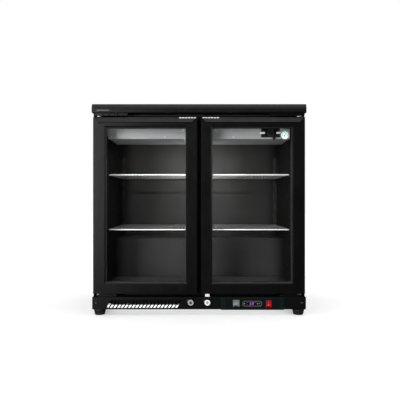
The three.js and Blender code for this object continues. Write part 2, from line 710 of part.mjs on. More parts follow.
// Hub with flat blades, each turned about its own spoke.
function fanRotor(x, z, hub, radius, y0, y1, blades) {
  const root = hub * 0.6;
  const parts = [];
  for (let i = 0; i < blades; i += 1) {
    const blade = new THREE.BoxGeometry(hub * 1.3, 1.2, radius - root);
    blade.rotateZ(0.5).translate(0, 0, (radius + root) / 2);
    blade.rotateY((i * 2 * Math.PI) / blades).translate(x, (y0 + y1) / 2, z);
    parts.push(blade);
  }
  return join(discY(hub, x, z, y0, y1, 16), ...parts);
}

const LAMP_LOW_Z = 738;
const LAMP_LOW_X = 62;
const LAMP_HIGH_X = 82;
const DIFFUSER_X = 58;
const DIFFUSER_LOW_Z = 729;

function lampHousing() {
  const shape = outline([
    [-LAMP_LOW_X, LAMP_LOW_Z], [LAMP_LOW_X, LAMP_LOW_Z],
    [LAMP_HIGH_X, COVER_HIGH_Z], [-LAMP_HIGH_X, COVER_HIGH_Z],
  ]);
  return extrudeY(shape, MULLION_Y + GAP, COVER_FRONT_Y - GAP);
}

add(cooling, 'evaporator_cover', evaporatorCover(), paleSteel);
add(cooling, 'evaporator_coil', finPack(-380, 180, -60, 20, COVER_LOW_Z + 2, 802, 28), finAluminium);
add(cooling, 'evaporator_fan_motor',
  fanMotor(FAN_X, FAN_Z, FAN_MOTOR_R, ...FAN_MOTOR_Y, FAN_MOUTH_X + 6,
    COVER_FRONT_Y - GAP - ARM_THICK, COVER_FRONT_Y - GAP), blackPlastic);
add(cooling, 'evaporator_fan', fanRotor(FAN_X, FAN_Z, 8, 21, -146, -134, 5), blackPlastic);
add(cooling, 'lamp_housing', lampHousing(), paleSteel);
add(cooling, 'lamp_diffuser', box(-DIFFUSER_X, DIFFUSER_X, MULLION_Y + SHEET, COVER_FRONT_Y - SHEET,
  DIFFUSER_LOW_Z, LAMP_LOW_Z - GAP), lampFinish);

// ---- Compressor space ---------------------------------------------------------------------------

const COMPRESSOR = [235, 150];
const COMPRESSOR_HEIGHT = 168;
const FEET_REACH = [90, 48];     // compressor feet, from its middle
const CONDENSER_X = [-405, -125];
const CONDENSER_Y = [70, 112];
const CONDENSER_TOP_Z = 236;
const CONDENSER_FAN = [-265, 140];
const DRIP_TRAY_HALF = [90, 70];
const DRIP_TRAY_HEIGHT = 32;

// A domed can on a plate with four rubber feet, and the relay box at its left.
function compressor() {
  const [x, y] = COMPRESSOR;
  const z = PAN_TOP_Z;
  const can = turnZ([
    [0, z + 12], [56, z + 14], [74, z + 34], [77, z + 80], [77, z + 96],
    [70, z + 142], [52, z + 160], [0, z + COMPRESSOR_HEIGHT],
  ], x, y, 20);
  const plate = box(x - 105, x + 105, y - 62, y + 62, z + 8, z + 20);
  const relay = box(x - 104, x - 60, y - 32, y + 32, z + 60, z + 120);
  const feet = [];
  for (const dx of [-FEET_REACH[0], FEET_REACH[0]]) {
    for (const dy of [-FEET_REACH[1], FEET_REACH[1]]) {
      feet.push(discZ(13, x + dx, y + dy, z, z + 12, 12));
    }
  }
  return join(can, plate, relay, ...feet);
}

function condenserFanMotor() {
  const [x, z] = CONDENSER_FAN;
  const can = discY(30, x, z, 158, 210, 20);
  const post = box(x - 10, x + 10, 170, 196, PAN_TOP_Z, z - 10);
  return join(can, post);
}

function dripTray() {
  const [x, y] = COMPRESSOR;
  const [halfX, halfY] = DRIP_TRAY_HALF;
  const low = PAN_TOP_Z + COMPRESSOR_HEIGHT + GAP;
  const shell = box(x - halfX, x + halfX, y - halfY, y + halfY, low, low + DRIP_TRAY_HEIGHT);
  const bowl = box(x - halfX + SHEET, x + halfX - SHEET, y - halfY + SHEET, y + halfY - SHEET,
    low + SHEET, low + DRIP_TRAY_HEIGHT + PAST);
  return cut(shell, bowl);
}

function mainsInlet() {
  const y = REAR_Y + GAP;
  const wall = 4;
  const body = box(372, 402, y, y + 8, 48, 76);
  return cut(body, box(372 + wall, 402 - wall, y + SHEET, y + 20, 48 + wall, 76 - wall));
}

add(cooling, 'compressor', compressor(), blackSteel);
add(cooling, 'condenser_coil',
  finPack(...CONDENSER_X, ...CONDENSER_Y, PAN_TOP_Z, CONDENSER_TOP_Z, 20), finAluminium);
add(cooling, 'condenser_fan_motor', condenserFanMotor(), blackPlastic);
add(cooling, 'condenser_fan', fanRotor(...CONDENSER_FAN, 24, 92, 126, 150, 5), blackPlastic);
add(cooling, 'drip_tray', dripTray(), blackPlastic);
add(cooling, 'mains_inlet', mainsInlet(), blackPlastic);

// ---- Controls -------------------------------------------------------------------------------------

const PLATE_Y = DOOR_FRONT_Y - GAP - SHEET;          // front of the control panel
const SWITCH_TILT = -0.12;                           // at rest, in radians
const LIGHT_SWITCH = { x: 155.5, z: 51, width: 27, height: 28 };
const POWER_SWITCH = { x: 292, z: 48.5, width: 22.5, height: 29.4 };
const FLANGE_THICK = 1.5;
const FLANGE_REACH = 1.6;        // how far a switch's flange covers the panel
const SWITCH_WALL = 2.6;
const SWITCH_WELL = 13;
const SWITCH_BACK_Y = -230;
const CONTROLLER_X = [182, 264];
const CONTROLLER_Z = [38.6, 61];
const CONTROLLER_REACH = 5.4;    // how far its bezel covers the panel at each end
const CONTROLLER_BACK_Y = -208;
const BEZEL_THICK = 2;
const BUTTONS = [['set', 190], ['down', 245], ['up', 253.5]];
const BUTTON_Z = 49.8;
const BUTTON_R = 2.6;

function controlPanel() {
  const before = PLATE_Y - PAST;
  const behind = PLATE_Y + PAST;
  const plate = extrudeY(roundedRect(...PANEL_X, ...PANEL_Z, 2), PLATE_Y, PLATE_Y + SHEET, 3);
  const tools = [box(CONTROLLER_X[0] + 5, CONTROLLER_X[1] - 5, before, behind,
    CONTROLLER_Z[0] + 1.9, CONTROLLER_Z[1] - 2)];
  for (const { x, z, width, height } of [LIGHT_SWITCH, POWER_SWITCH]) {
    const w = width / 2 - FLANGE_REACH + 0.4;
    const h = height / 2 - FLANGE_REACH + 0.4;
    tools.push(box(x - w, x + w, before, behind, z - h, z + h));
  }
  return cut(plate, ...tools);
}

function temperatureController() {
  const face = PLATE_Y - GAP - BEZEL_THICK;
  const radius = (CONTROLLER_Z[1] - CONTROLLER_Z[0]) / 2 - 0.1;
  const bezel = extrudeY(roundedRect(...CONTROLLER_X, ...CONTROLLER_Z, radius),
    face, face + BEZEL_THICK, 8);
  const body = box(CONTROLLER_X[0] + CONTROLLER_REACH, CONTROLLER_X[1] - CONTROLLER_REACH,
    face + 1, CONTROLLER_BACK_Y, CONTROLLER_Z[0] + 2.3, CONTROLLER_Z[1] - 2.4);
  const holes = BUTTONS.map(([, x]) => discY(BUTTON_R + 0.4, x, BUTTON_Z, face - PAST, face + PAST, 16));
  return cut(join(bezel, body), ...holes);
}

function switchHousing({ x, z, width, height }) {
  const face = PLATE_Y - GAP - FLANGE_THICK;
  const block = (edge, y0, y1) => box(x - width / 2 + edge, x + width / 2 - edge, y0, y1,
    z - height / 2 + edge, z + height / 2 - edge);
  const flange = block(0, face, face + FLANGE_THICK);
  const body = block(FLANGE_REACH, face + 1, SWITCH_BACK_Y);
  return cut(join(flange, body), block(SWITCH_WALL, face - PAST, face + SWITCH_WELL));
}

// The rocker's pivot is inside the well, and its two faces meet in a shallow V.
function switchRocker({ x, z, width, height }) {
  const pivotY = PLATE_Y + 4.5;
  const reach = height / 2 - SWITCH_WALL - 2;
  const halfWidth = width / 2 - SWITCH_WALL - GAP;
  const section = extrudeX([
    [-6, -reach], [1, -reach], [3.4, -reach / 2], [3.4, reach / 2],
    [1, reach], [-6, reach], [-4.2, 0],
  ], -halfWidth, halfWidth);
  return section.rotateX(SWITCH_TILT).translate(x, pivotY, z);
}

function controllerButton(x) {
  const face = PLATE_Y - GAP - BEZEL_THICK;
  return discY(BUTTON_R, x, BUTTON_Z, face - 1, face + 3, 14);
}

add(controls, 'control_panel', controlPanel(), panelFinish);
add(controls, 'temperature_controller', temperatureController(), blackPlastic);
for (const [word, x] of BUTTONS) {
  add(controls, `controller_button_${word}`, controllerButton(x), greyPlastic);
}
add(controls, 'light_switch_housing', switchHousing(LIGHT_SWITCH), blackPlastic);
add(controls, 'light_switch_rocker', switchRocker(LIGHT_SWITCH), greyPlastic);
add(controls, 'power_switch_housing', switchHousing(POWER_SWITCH), blackPlastic);
add(controls, 'power_switch_rocker', switchRocker(POWER_SWITCH), redPlastic);

// ---- Door locks -----------------------------------------------------------------------------------

const RING_R = 17;
const RING_FRONT_Y = DOOR_FRONT_Y - GAP - 2.4;
const BARREL_BACK_Y = -246;
const SEAT_Y = -251;             // bottom of the barrel's counterbore
const SEAT_R = 12.4;
const PLUG_R = 12;
const PLUG_FRONT_Y = RING_FRONT_Y - 0.6;
const STEM_R = 6.5;
const STEM_BACK_Y = -243;
const TAIL_THICK = 2.5;
const TAIL_REACH = 13;
const TAIL_HALF = 3.5;
const BOLT_SLOT_HALF = 3;        // slot in the bolt, below its tip
const BOLT_SLOT = [36, 26];

function lockBarrel(side) {
  const x = side * LOCK_X;
  const shoulder = DOOR_FRONT_Y - GAP;
  const outer = turnY([
    [0, RING_FRONT_Y], [RING_R - 1, RING_FRONT_Y], [RING_R, RING_FRONT_Y + 1], [RING_R, shoulder],
    [LOCK_BODY_R, shoulder], [LOCK_BODY_R, BARREL_BACK_Y], [0, BARREL_BACK_Y],
  ], x, LOCK_Z, 24);
  const seat = discY(SEAT_R, x, LOCK_Z, RING_FRONT_Y - PAST, SEAT_Y, 24);
  const bore = discY(STEM_R + 0.5, x, LOCK_Z, RING_FRONT_Y - PAST, BARREL_BACK_Y + PAST, 16);
  return cut(outer, seat, bore);
}

// The tail points up when the bolt is up, and level when it is down.
function lockPlug(side, isUp) {
  const x = side * LOCK_X;
  const body = turnY([
    [0, PLUG_FRONT_Y], [PLUG_R - 1, PLUG_FRONT_Y], [PLUG_R, PLUG_FRONT_Y + 1],
    [PLUG_R, SEAT_Y - 0.4], [STEM_R, SEAT_Y - 0.4], [STEM_R, STEM_BACK_Y], [0, STEM_BACK_Y],
  ], x, LOCK_Z, 24);
  const tail = box(-TAIL_HALF, TAIL_HALF, STEM_BACK_Y - TAIL_THICK, STEM_BACK_Y, -3, TAIL_REACH);
  const keyway = box(-0.9, 0.9, PLUG_FRONT_Y - PAST, PLUG_FRONT_Y + 4.6, -4.5, 4.5);
  for (const turned of [tail, keyway]) {
    turned.rotateY(isUp ? 0 : Math.PI / 2).translate(x, 0, LOCK_Z);
  }
  return cut(join(body, tail), keyway);
}

// The bolt's tip stops just short of the door when it is up.
function lockBolt(side, isUp) {
  const x = side * LOCK_X;
  const high = DOOR_LOW_Z - 2 * GAP - (isUp ? 0 : BOLT_LIFT);
  const bar = box(x - BOLT_WIDTH / 2, x + BOLT_WIDTH / 2, ...BOLT_Y, high - BOLT_LENGTH, high);
  return cut(bar, box(x - BOLT_SLOT_HALF, x + BOLT_SLOT_HALF, BOLT_Y[0] - PAST, BOLT_Y[1] + PAST,
    high - BOLT_SLOT[0], high - BOLT_SLOT[1]));
}

for (const [word, side] of SIDES) {
  const isUp = side > 0;
  add(controls, `lock_barrel_${word}`, lockBarrel(side), blackPlastic);
  add(controls, `lock_plug_${word}`, lockPlug(side, isUp), steelFinish);
  add(controls, `lock_bolt_${word}`, lockBolt(side, isUp), steelFinish);
}

export default fridge;
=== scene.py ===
"""The looks of a two-door undercounter refrigerator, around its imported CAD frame.

Metres, +Z up, with the doors facing -Y."""

import json
import math

import bmesh
import bpy
from mathutils import Matrix, Vector


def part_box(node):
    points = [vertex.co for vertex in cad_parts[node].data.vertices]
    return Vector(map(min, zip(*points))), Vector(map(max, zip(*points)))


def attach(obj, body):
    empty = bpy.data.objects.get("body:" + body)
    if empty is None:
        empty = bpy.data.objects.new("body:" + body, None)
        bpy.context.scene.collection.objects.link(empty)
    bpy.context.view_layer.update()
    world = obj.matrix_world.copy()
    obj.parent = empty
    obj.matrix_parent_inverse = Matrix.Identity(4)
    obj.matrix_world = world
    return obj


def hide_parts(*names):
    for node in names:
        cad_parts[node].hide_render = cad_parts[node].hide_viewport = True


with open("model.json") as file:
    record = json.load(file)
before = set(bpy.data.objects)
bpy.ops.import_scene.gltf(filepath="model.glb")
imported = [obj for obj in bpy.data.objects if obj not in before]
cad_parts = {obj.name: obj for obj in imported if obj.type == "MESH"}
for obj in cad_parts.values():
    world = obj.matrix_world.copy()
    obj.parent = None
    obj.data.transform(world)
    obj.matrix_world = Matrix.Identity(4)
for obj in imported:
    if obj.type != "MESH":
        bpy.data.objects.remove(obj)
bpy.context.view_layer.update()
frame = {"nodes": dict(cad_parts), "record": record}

MM = 0.001
TURN = 2 * math.pi
SIDES = (("left", -1), ("right", 1))
HEAD_SIDES = 32                  # of a screw head
AXES = {
    "x": Vector((1, 0, 0)), "y": Vector((0, 1, 0)), "z": Vector((0, 0, 1)),
    "-x": Vector((-1, 0, 0)), "-y": Vector((0, -1, 0)), "-z": Vector((0, 0, -1)),
}


def in_mm(*points):
    """Points given in millimetres."""
    return [tuple(n * MM for n in point) for point in points]


def middle(node):
    """The middle of a CAD node's box."""
    low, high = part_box(node)
    return (low + high) / 2


# ---- Meshes -----------------------------------------------------------------------------------


def merge(*meshes):
    """Joins several bmeshes into the first and frees the others."""
    first = meshes[0]
    for other in meshes[1:]:
        scratch = bpy.data.meshes.new("scratch")
        other.to_mesh(scratch)
        first.from_mesh(scratch)
        bpy.data.meshes.remove(scratch)
        other.free()
    return first


def round_edges(bm, width, segments=2, limit=28):
    """Rounds every edge sharper than limit degrees."""
    sharp = [e for e in bm.edges if len(e.link_faces) == 2 and e.calc_face_angle() > math.radians(limit)]
    bmesh.ops.bevel(
        bm, geom=sharp, offset=width, segments=segments, profile=0.6, affect="EDGES", clamp_overlap=True
    )
    return bm


def bridge(bm, rings, around=False):
    """Faces from each ring of vertices to the next, and from the last to the first when around is set."""
    for a, b in zip(rings, rings[1:] + (rings[:1] if around else [])):
        for i in range(len(a)):
            j = (i + 1) % len(a)
            bm.faces.new((a[i], a[j], b[j], b[i]))


def outward(bm):
    """Turns every face to look out."""
    bmesh.ops.recalc_face_normals(bm, faces=bm.faces)
    return bm


def block(low, high, bevel=0.0, segments=2):
    """A box from its lowest to its highest corner."""
    low, high = Vector(low), Vector(high)
    bm = bmesh.new()
    place = Matrix.LocRotScale((low + high) / 2, None, high - low)
    bmesh.ops.create_cube(bm, size=1, matrix=place)
    return round_edges(bm, bevel, segments) if bevel else bm


def along(axis):
    """The rotation that takes +Z to the axis."""
    return AXES[axis].to_track_quat("Z", "Y").to_matrix().to_4x4()


def lathe(profile, axis, centre, sides=48):
    """Turns (radius, height) points about an axis. Heights are measured along it from centre."""
    bm = bmesh.new()
    rings = []
    for radius, height in profile:
        count = sides if radius > 1e-7 else 1
        rings.append([
            bm.verts.new((radius * math.cos(i * TURN / sides), radius * math.sin(i * TURN / sides), height))
            for i in range(count)
        ])
    for lower, upper in zip(rings, rings[1:]):
        for i in range(sides):
            quad = [
                lower[i % len(lower)], lower[(i + 1) % len(lower)],
                upper[(i + 1) % len(upper)], upper[i % len(upper)],
            ]
            corners = list(dict.fromkeys(quad))
            if len(corners) > 2:
                bm.faces.new(corners)
    bmesh.ops.transform(bm, matrix=Matrix.Translation(Vector(centre)) @ along(axis), verts=bm.verts)
    return outward(bm)


def prism(outline, axis, low, high, bevel=0.0, segments=2):
    """Extrudes an outline of (u, v) points along an axis: (y, z) for x, (x, z) for y and (x, y) for z."""
    bm = bmesh.new()
    place = {
        "x": lambda u, v, w: (w, u, v),
        "y": lambda u, v, w: (u, w, v),
        "z": lambda u, v, w: (u, v, w),
    }[axis]
    ends = [[bm.verts.new(place(u, v, w)) for u, v in outline] for w in (low, high)]
    for ring in ends:
        bm.faces.new(ring)
    bridge(bm, ends)
    outward(bm)
    return round_edges(bm, bevel, segments) if bevel else bm


def sweep(points, radius, sides=10):
    """A round rod through the points, with flat ends."""
    points = [Vector(p) for p in points]
    bm = bmesh.new()
    rings = []
    previous = None
    for i, point in enumerate(points):
        before, after = points[max(i - 1, 0)], points[min(i + 1, len(points) - 1)]
        heading = (after - before).normalized()
        if previous is None:
            guide = Vector((0, 0, 1)) if abs(heading.z) < 0.9 else Vector((1, 0, 0))
            side = heading.cross(guide).normalized()
        else:
            side = (previous - heading * previous.dot(heading)).normalized()
        previous = side
        up = heading.cross(side)
        rings.append([
            bm.verts.new(point + radius * (math.cos(a) * side + math.sin(a) * up))
            for a in (k * TURN / sides for k in range(sides))
        ])
    bridge(bm, rings)
    bm.faces.new(rings[0])
    bm.faces.new(rings[-1])
    return outward(bm)


def round_outline(u0, u1, v0, v1, radius, steps=6):
    """A rectangle's outline with round corners."""
    corners = ((u1 - radius, v0 + radius, -90), (u1 - radius, v1 - radius, 0),
               (u0 + radius, v1 - radius, 90), (u0 + radius, v0 + radius, 180))
    points = []
    for u, v, start in corners:
        for i in range(steps + 1):
            a = math.radians(start + 90 * i / steps)
            points.append((u + radius * math.cos(a), v + radius * math.sin(a)))
    return points


def loft(rings, place=None):
    """A skin over rings of the same number of points, closed at both ends."""
    bm = bmesh.new()
    loops = [[bm.verts.new(p) for p in ring] for ring in rings]
    bridge(bm, loops)
    bm.faces.new(loops[0])
    bm.faces.new(loops[-1])
    if place is not None:
        bmesh.ops.transform(bm, matrix=place, verts=bm.verts)
    return outward(bm)


def frame_sweep(section, x0, x1, z0, z1):
    """Runs a closed section of (inset, y) points round a rectangle, with mitred corners."""
    bm = bmesh.new()
    loops = []
    for u, y in section:
        corners = ((x0 + u, z0 + u), (x1 - u, z0 + u), (x1 - u, z1 - u), (x0 + u, z1 - u))
        loops.append([bm.verts.new((x, y, z)) for x, z in corners])
    bridge(bm, loops, around=True)
    return outward(bm)


def circle(radius, height):
    turns = (i * TURN / HEAD_SIDES for i in range(HEAD_SIDES))
    return [(radius * math.cos(a), radius * math.sin(a), height) for a in turns]


def cross(reach, height):
    """The outline of a screwdriver's cross, with as many points as a circle of the head."""
    half_width = reach * math.tan(TURN / HEAD_SIDES)
    points = []
    for i in range(HEAD_SIDES):
        a = i * TURN / HEAD_SIDES
        off = abs((a + TURN / 8) % (TURN / 4) - TURN / 8)
        on_tip = reach * math.tan(off) <= half_width * 1.001
        r = reach / math.cos(off) if on_tip else half_width / math.sin(off)
        points.append((r * math.cos(a), r * math.sin(a), height))
    return points


def screw(centre, facing, radius):
    """A pan-head screw with a cross recess, standing on centre."""
    h = 0.55 * radius
    rings = [
        circle(0.94 * radius, -0.2 * h), circle(radius, 0.12 * h), circle(0.97 * radius, 0.45 * h),
        circle(0.84 * radius, 0.82 * h), circle(0.64 * radius, h), cross(0.52 * radius, 0.99 * h),
        cross(0.44 * radius, 0.35 * h),
    ]
    return loft(rings, Matrix.Translation(Vector(centre)) @ along(facing))


def carve(bm, *cutters):
    """Cuts the cutters out of a bmesh and frees them."""
    def temporary(name, shape):
        mesh = bpy.data.meshes.new(name)
        shape.to_mesh(mesh)
        shape.free()
        thing = bpy.data.objects.new(name, mesh)
        bpy.context.scene.collection.objects.link(thing)
        return thing

    body = temporary("carved", bm)
    tool = temporary("cutter", merge(*cutters))
    modifier = body.modifiers.new("cut", "BOOLEAN")
    modifier.operation = "DIFFERENCE"
    modifier.solver = "EXACT"
    modifier.use_self = True
    modifier.object = tool
    bpy.context.view_layer.update()
    result = bmesh.new()
    result.from_object(body, bpy.context.evaluated_depsgraph_get())
    for thing in (body, tool):
        mesh = thing.data
        bpy.data.objects.remove(thing)
        bpy.data.meshes.remove(mesh)
    bmesh.ops.remove_doubles(result, verts=result.verts, dist=1e-6)
    return result


def cad_mesh(node):
    """A clean copy of a CAD node's mesh: welded, with its flat faces whole."""
    bm = bmesh.new()
    bm.from_mesh(frame["nodes"][node].data)
    bmesh.ops.remove_doubles(bm, verts=bm.verts, dist=2e-6)
    bmesh.ops.dissolve_limit(bm, angle_limit=math.radians(0.8), verts=bm.verts, edges=bm.edges)
    return bm


def piece(name, bm, body, finish, *nodes, smooth=35):
    """Makes the object, which rides on body, takes finish and stands for the CAD nodes."""
    mesh = bpy.data.meshes.new(name)
    bm.normal_update()
    bm.to_mesh(mesh)
    bm.free()
    mesh.polygons.foreach_set("use_smooth", [True] * len(mesh.polygons))
    mesh.set_sharp_from_angle(angle=math.radians(smooth))
    slot, material = finish
    mesh.materials.append(material)
    thing = bpy.data.objects.new(name, mesh)
    bpy.context.scene.collection.objects.link(thing)
    flat = thing.modifiers.new("flat_faces_stay_flat", "WEIGHTED_NORMAL")
    flat.keep_sharp = True
    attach(thing, body)
    if nodes:
        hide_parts(*nodes)
    return thing


def refined(node, body, finish, width=0.8, segments=2, limit=28):
    """Stands for a CAD node with the same shape and rounded edges; width in millimetres."""
    bm = round_edges(cad_mesh(node), width * MM, segments, limit)
    return piece(f"{node}_surface", bm, body, finish, node)


# ---- Materials --------------------------------------------------------------------------------


class Nodes:
    """Builds one procedural material on a Principled shader."""

    def __init__(self, name):
        self.material = bpy.data.materials.new(name)
        self.material.use_nodes = True
        self.tree = self.material.node_tree
        self.tree.nodes.clear()
        self.shader = self.add("ShaderNodeBsdfPrincipled")
        self.output = self.add("ShaderNodeOutputMaterial")
        self.link(self.shader.outputs["BSDF"], self.output.inputs["Surface"])
        self.place = self.add("ShaderNodeTexCoord").outputs["Object"]

    def add(self, kind, **settings):
        node = self.tree.nodes.new(kind)
        for key, value in settings.items():
            setattr(node, key, value)
        return node

    def link(self, source, target):
        self.tree.links.new(source, target)

    def stretched(self, scale):
        mapping = self.add("ShaderNodeMapping")
        mapping.inputs["Scale"].default_value = scale
        self.link(self.place, mapping.inputs["Vector"])
        return mapping.outputs["Vector"]

    def noise(self, scale, detail=2.0, stretch=(1, 1, 1)):
        node = self.add("ShaderNodeTexNoise")
        node.inputs["Scale"].default_value = scale
        node.inputs["Detail"].default_value = detail
        self.link(self.stretched(stretch), node.inputs["Vector"])
        return node.outputs["Fac"]

    def cells(self, scale, feature="F1"):
        node = self.add("ShaderNodeTexVoronoi", feature=feature)
        node.inputs["Scale"].default_value = scale
        self.link(self.place, node.inputs["Vector"])
        return node

    def remap(self, value, low, high, start=0.3, end=0.7):
        node = self.add("ShaderNodeMapRange")
        for key, number in (("From Min", start), ("From Max", end), ("To Min", low), ("To Max", high)):
            node.inputs[key].default_value = number
        self.link(value, node.inputs["Value"])
        return node.outputs["Result"]

    def blend(self, value, first, second, start=0.3, end=0.7):
        ramp = self.add("ShaderNodeValToRGB")
        ramp.color_ramp.elements[0].position = start
        ramp.color_ramp.elements[1].position = end
        ramp.color_ramp.elements[0].color = (*first, 1)
        ramp.color_ramp.elements[1].color = (*second, 1)
        self.link(value, ramp.inputs["Fac"])
        return ramp.outputs["Color"]

    def bump(self, height, distance, strength=1.0, under=None):
        node = self.add("ShaderNodeBump")
        node.inputs["Strength"].default_value = strength
        node.inputs["Distance"].default_value = distance
        self.link(height, node.inputs["Height"])
        if under is not None:
            self.link(under, node.inputs["Normal"])
        return node.outputs["Normal"]

    def set(self, **values):
        """Sets or links shader inputs, named with _ for a space."""
        for key, value in values.items():
            socket = self.shader.inputs[key.replace("_", " ")]
            if isinstance(value, bpy.types.NodeSocket):
                self.link(value, socket)
            else:
                socket.default_value = value
        return self.material


def grey(level, tint=(1, 1, 1)):
    return tuple(level * t for t in tint)


def powder_coat(name, dark, light, rough, texture=0.00005, specular=0.5):
    """Powder-coated steel: a fine orange-peel surface with faint clouding."""
    n = Nodes(name)
    cloud = n.noise(5, 3)
    peel = n.noise(900, 2)
    fine = n.noise(2600, 1)
    normal = n.bump(fine, texture * 0.4, 0.5, under=n.bump(peel, texture, 0.6))
    return n.set(
        Base_Color=n.blend(cloud, dark, light),
        Roughness=n.remap(n.noise(38, 4), rough - 0.05, rough + 0.06),
        Specular_IOR_Level=specular,
        Normal=normal,
    )


def even(name, dark, light, rough, noises, grain, strength, **settings):
    """An even finish: two near tones, a roughness between two values and a fine grain.

    noises holds the scale and detail of the tone's, the roughness's and the grain's noise."""
    n = Nodes(name)
    tone, wear, fine = (n.noise(*noise) for noise in noises)
    return n.set(
        Base_Color=n.blend(tone, dark, light),
        Roughness=n.remap(wear, *rough),
        Normal=n.bump(fine, grain, strength),
        **settings,
    )


def moulded(name, dark, light, rough, specular=0.5, grain=0.00003):
    """Injection-moulded plastic with a fine spark-eroded grain."""
    return even(name, dark, light, (rough - 0.05, rough + 0.05), ((26, 3), (90, 3), (1700, 2)), grain, 0.7,
                Specular_IOR_Level=specular)


def bare_metal(name, dark, light, rough, stretch=(1, 1, 1), scale=600, metallic=1.0):
    """Metal with fine lines across the axis that stretch squeezes."""
    n = Nodes(name)
    lines = n.noise(scale, 3, stretch)
    return n.set(
        Base_Color=n.blend(n.noise(30, 3), dark, light),
        Metallic=metallic,
        Roughness=n.remap(lines, rough - 0.06, rough + 0.08),
        Normal=n.bump(lines, 0.00002, 0.6),
    )


def galvanised(name):
    """Hot-dip galvanised sheet with its spangle."""
    n = Nodes(name)
    spangle = n.cells(120)
    tone = n.add("ShaderNodeSeparateColor")
    n.link(spangle.outputs["Color"], tone.inputs["Color"])
    value = tone.outputs["Red"]
    return n.set(
        Base_Color=n.blend(value, grey(0.42, (0.97, 1, 1.02)), grey(0.56, (0.97, 1, 1.02)), 0.0, 1.0),
        Metallic=0.85,
        Roughness=n.remap(value, 0.34, 0.5, 0.0, 1.0),
        Normal=n.bump(n.noise(240, 3), 0.00004, 0.5),
    )


def embossed_liner_painted_shade(name, dark, light, rough, side, half):
    """Painted aluminium liner with a shallow stucco emboss, grey at the back; its side walls and the back wall's
    last 60 mm before them are darkened to near black, painted shade.
    """
    n = Nodes(name)
    stucco = n.cells(260, "SMOOTH_F1").outputs["Distance"]
    parts = n.add("ShaderNodeSeparateXYZ")
    n.link(n.place, parts.inputs[0])
    across = n.add("ShaderNodeMath", operation="ABSOLUTE")
    n.link(parts.outputs["X"], across.inputs[0])
    # Painted shade: over the last 60 mm towards each side wall the colour ramps to the near-black side tone, and
    # the side walls take it whole.
    mix = n.add("ShaderNodeMix", data_type="RGBA")
    n.link(n.remap(across.outputs[0], 0, 1, half - 0.06, half - 0.002), mix.inputs["Factor"])
    n.link(n.blend(n.noise(7, 3), dark, light), mix.inputs[6])
    mix.inputs[7].default_value = (*side, 1)
    return n.set(
        Base_Color=mix.outputs[2],
        Roughness=n.remap(n.noise(60, 3), rough - 0.05, rough + 0.07),
        Specular_IOR_Level=0.15,
        Normal=n.bump(stucco, 0.00012, 0.35),
    )


def foam(name):
    """Poured polyurethane foam with its pores."""
    n = Nodes(name)
    pores = n.cells(420).outputs["Distance"]
    return n.set(
        Base_Color=n.blend(n.noise(18, 4), (0.62, 0.53, 0.3), (0.78, 0.7, 0.47)),
        Roughness=0.92,
        Normal=n.bump(pores, 0.0006, 0.6),
    )


def glow(name, colour, strength, base=(0.9, 0.9, 0.9)):
    """A surface that gives light, with faint unevenness."""
    n = Nodes(name)
    uneven = n.noise(60, 2)
    return n.set(
        Base_Color=n.blend(uneven, grey(0.92, base), base),
        Roughness=0.4,
        Emission_Color=n.blend(uneven, tuple(0.93 * c for c in colour), colour),
        Emission_Strength=strength,
    )


def pane_glass(name, tint, reflectance):
    """Clear glass: Schlick's reflection over a tinted see-through shader."""
    n = Nodes(name)
    n.tree.nodes.remove(n.shader)
    facing = n.add("ShaderNodeLayerWeight")
    facing.inputs["Blend"].default_value = 0.5
    power = n.add("ShaderNodeMath", operation="POWER")
    power.inputs[1].default_value = 5.0
    n.link(facing.outputs["Facing"], power.inputs[0])
    share = n.remap(power.outputs[0], reflectance, 1.0, 0.0, 1.0)
    clear = n.add("ShaderNodeBsdfTransparent")
    n.link(n.blend(n.noise(3, 2), tint, tuple(min(1, 1.01 * c) for c in tint)), clear.inputs["Color"])
    gloss = n.add("ShaderNodeBsdfGlossy")
    gloss.inputs["Color"].default_value = (0.95, 0.97, 1, 1)
    n.link(n.remap(n.noise(14, 4), 0.01, 0.05), gloss.inputs["Roughness"])
    mix = n.add("ShaderNodeMixShader")
    n.link(share, mix.inputs[0])
    n.link(clear.outputs[0], mix.inputs[1])
    n.link(gloss.outputs[0], mix.inputs[2])
    n.link(mix.outputs[0], n.output.inputs["Surface"])
    return n.material


def plastic(slot, name, dark, light, *rest, **settings):
    return slot, moulded(name, grey(dark), grey(light), *rest, **settings)


def paint(slot, name, dark, light, *rest, **settings):
    return slot, powder_coat(name, grey(dark), grey(light), *rest, **settings)


def metal(slot, name, dark, light, *rest, **settings):
    return slot, bare_metal(name, grey(dark), grey(light), *rest, **settings)


# Each finish is its slot in the record and its material.
PAINT = paint("black_steel", "black_powder_coat", 0.0018, 0.0027, 0.36, specular=0.13)
DOOR_PAINT = paint("black_frame", "door_powder_coat", 0.0015, 0.0023, 0.34, 0.00003, 0.13)
RECESS = paint("black_steel", "recess_paint", 0.002, 0.003, 0.6, specular=0.1)
GLOSS_PAINT = paint("black_steel", "compressor_paint", 0.006, 0.01, 0.22, 0.00002)
# The base pan is painted near white, painted light that makes the kick panel's slots show bright.
PAN_PAINTED_LIGHT = paint("galvanised_steel", "pan_coating_painted_light", 0.8, 0.86, 0.4)
PALE_TINT = (0.98, 1, 1.01)
PALE = ("pale_steel", powder_coat("pale_panel", grey(0.29, PALE_TINT), grey(0.33, PALE_TINT), 0.42,
                                  specular=0.3))
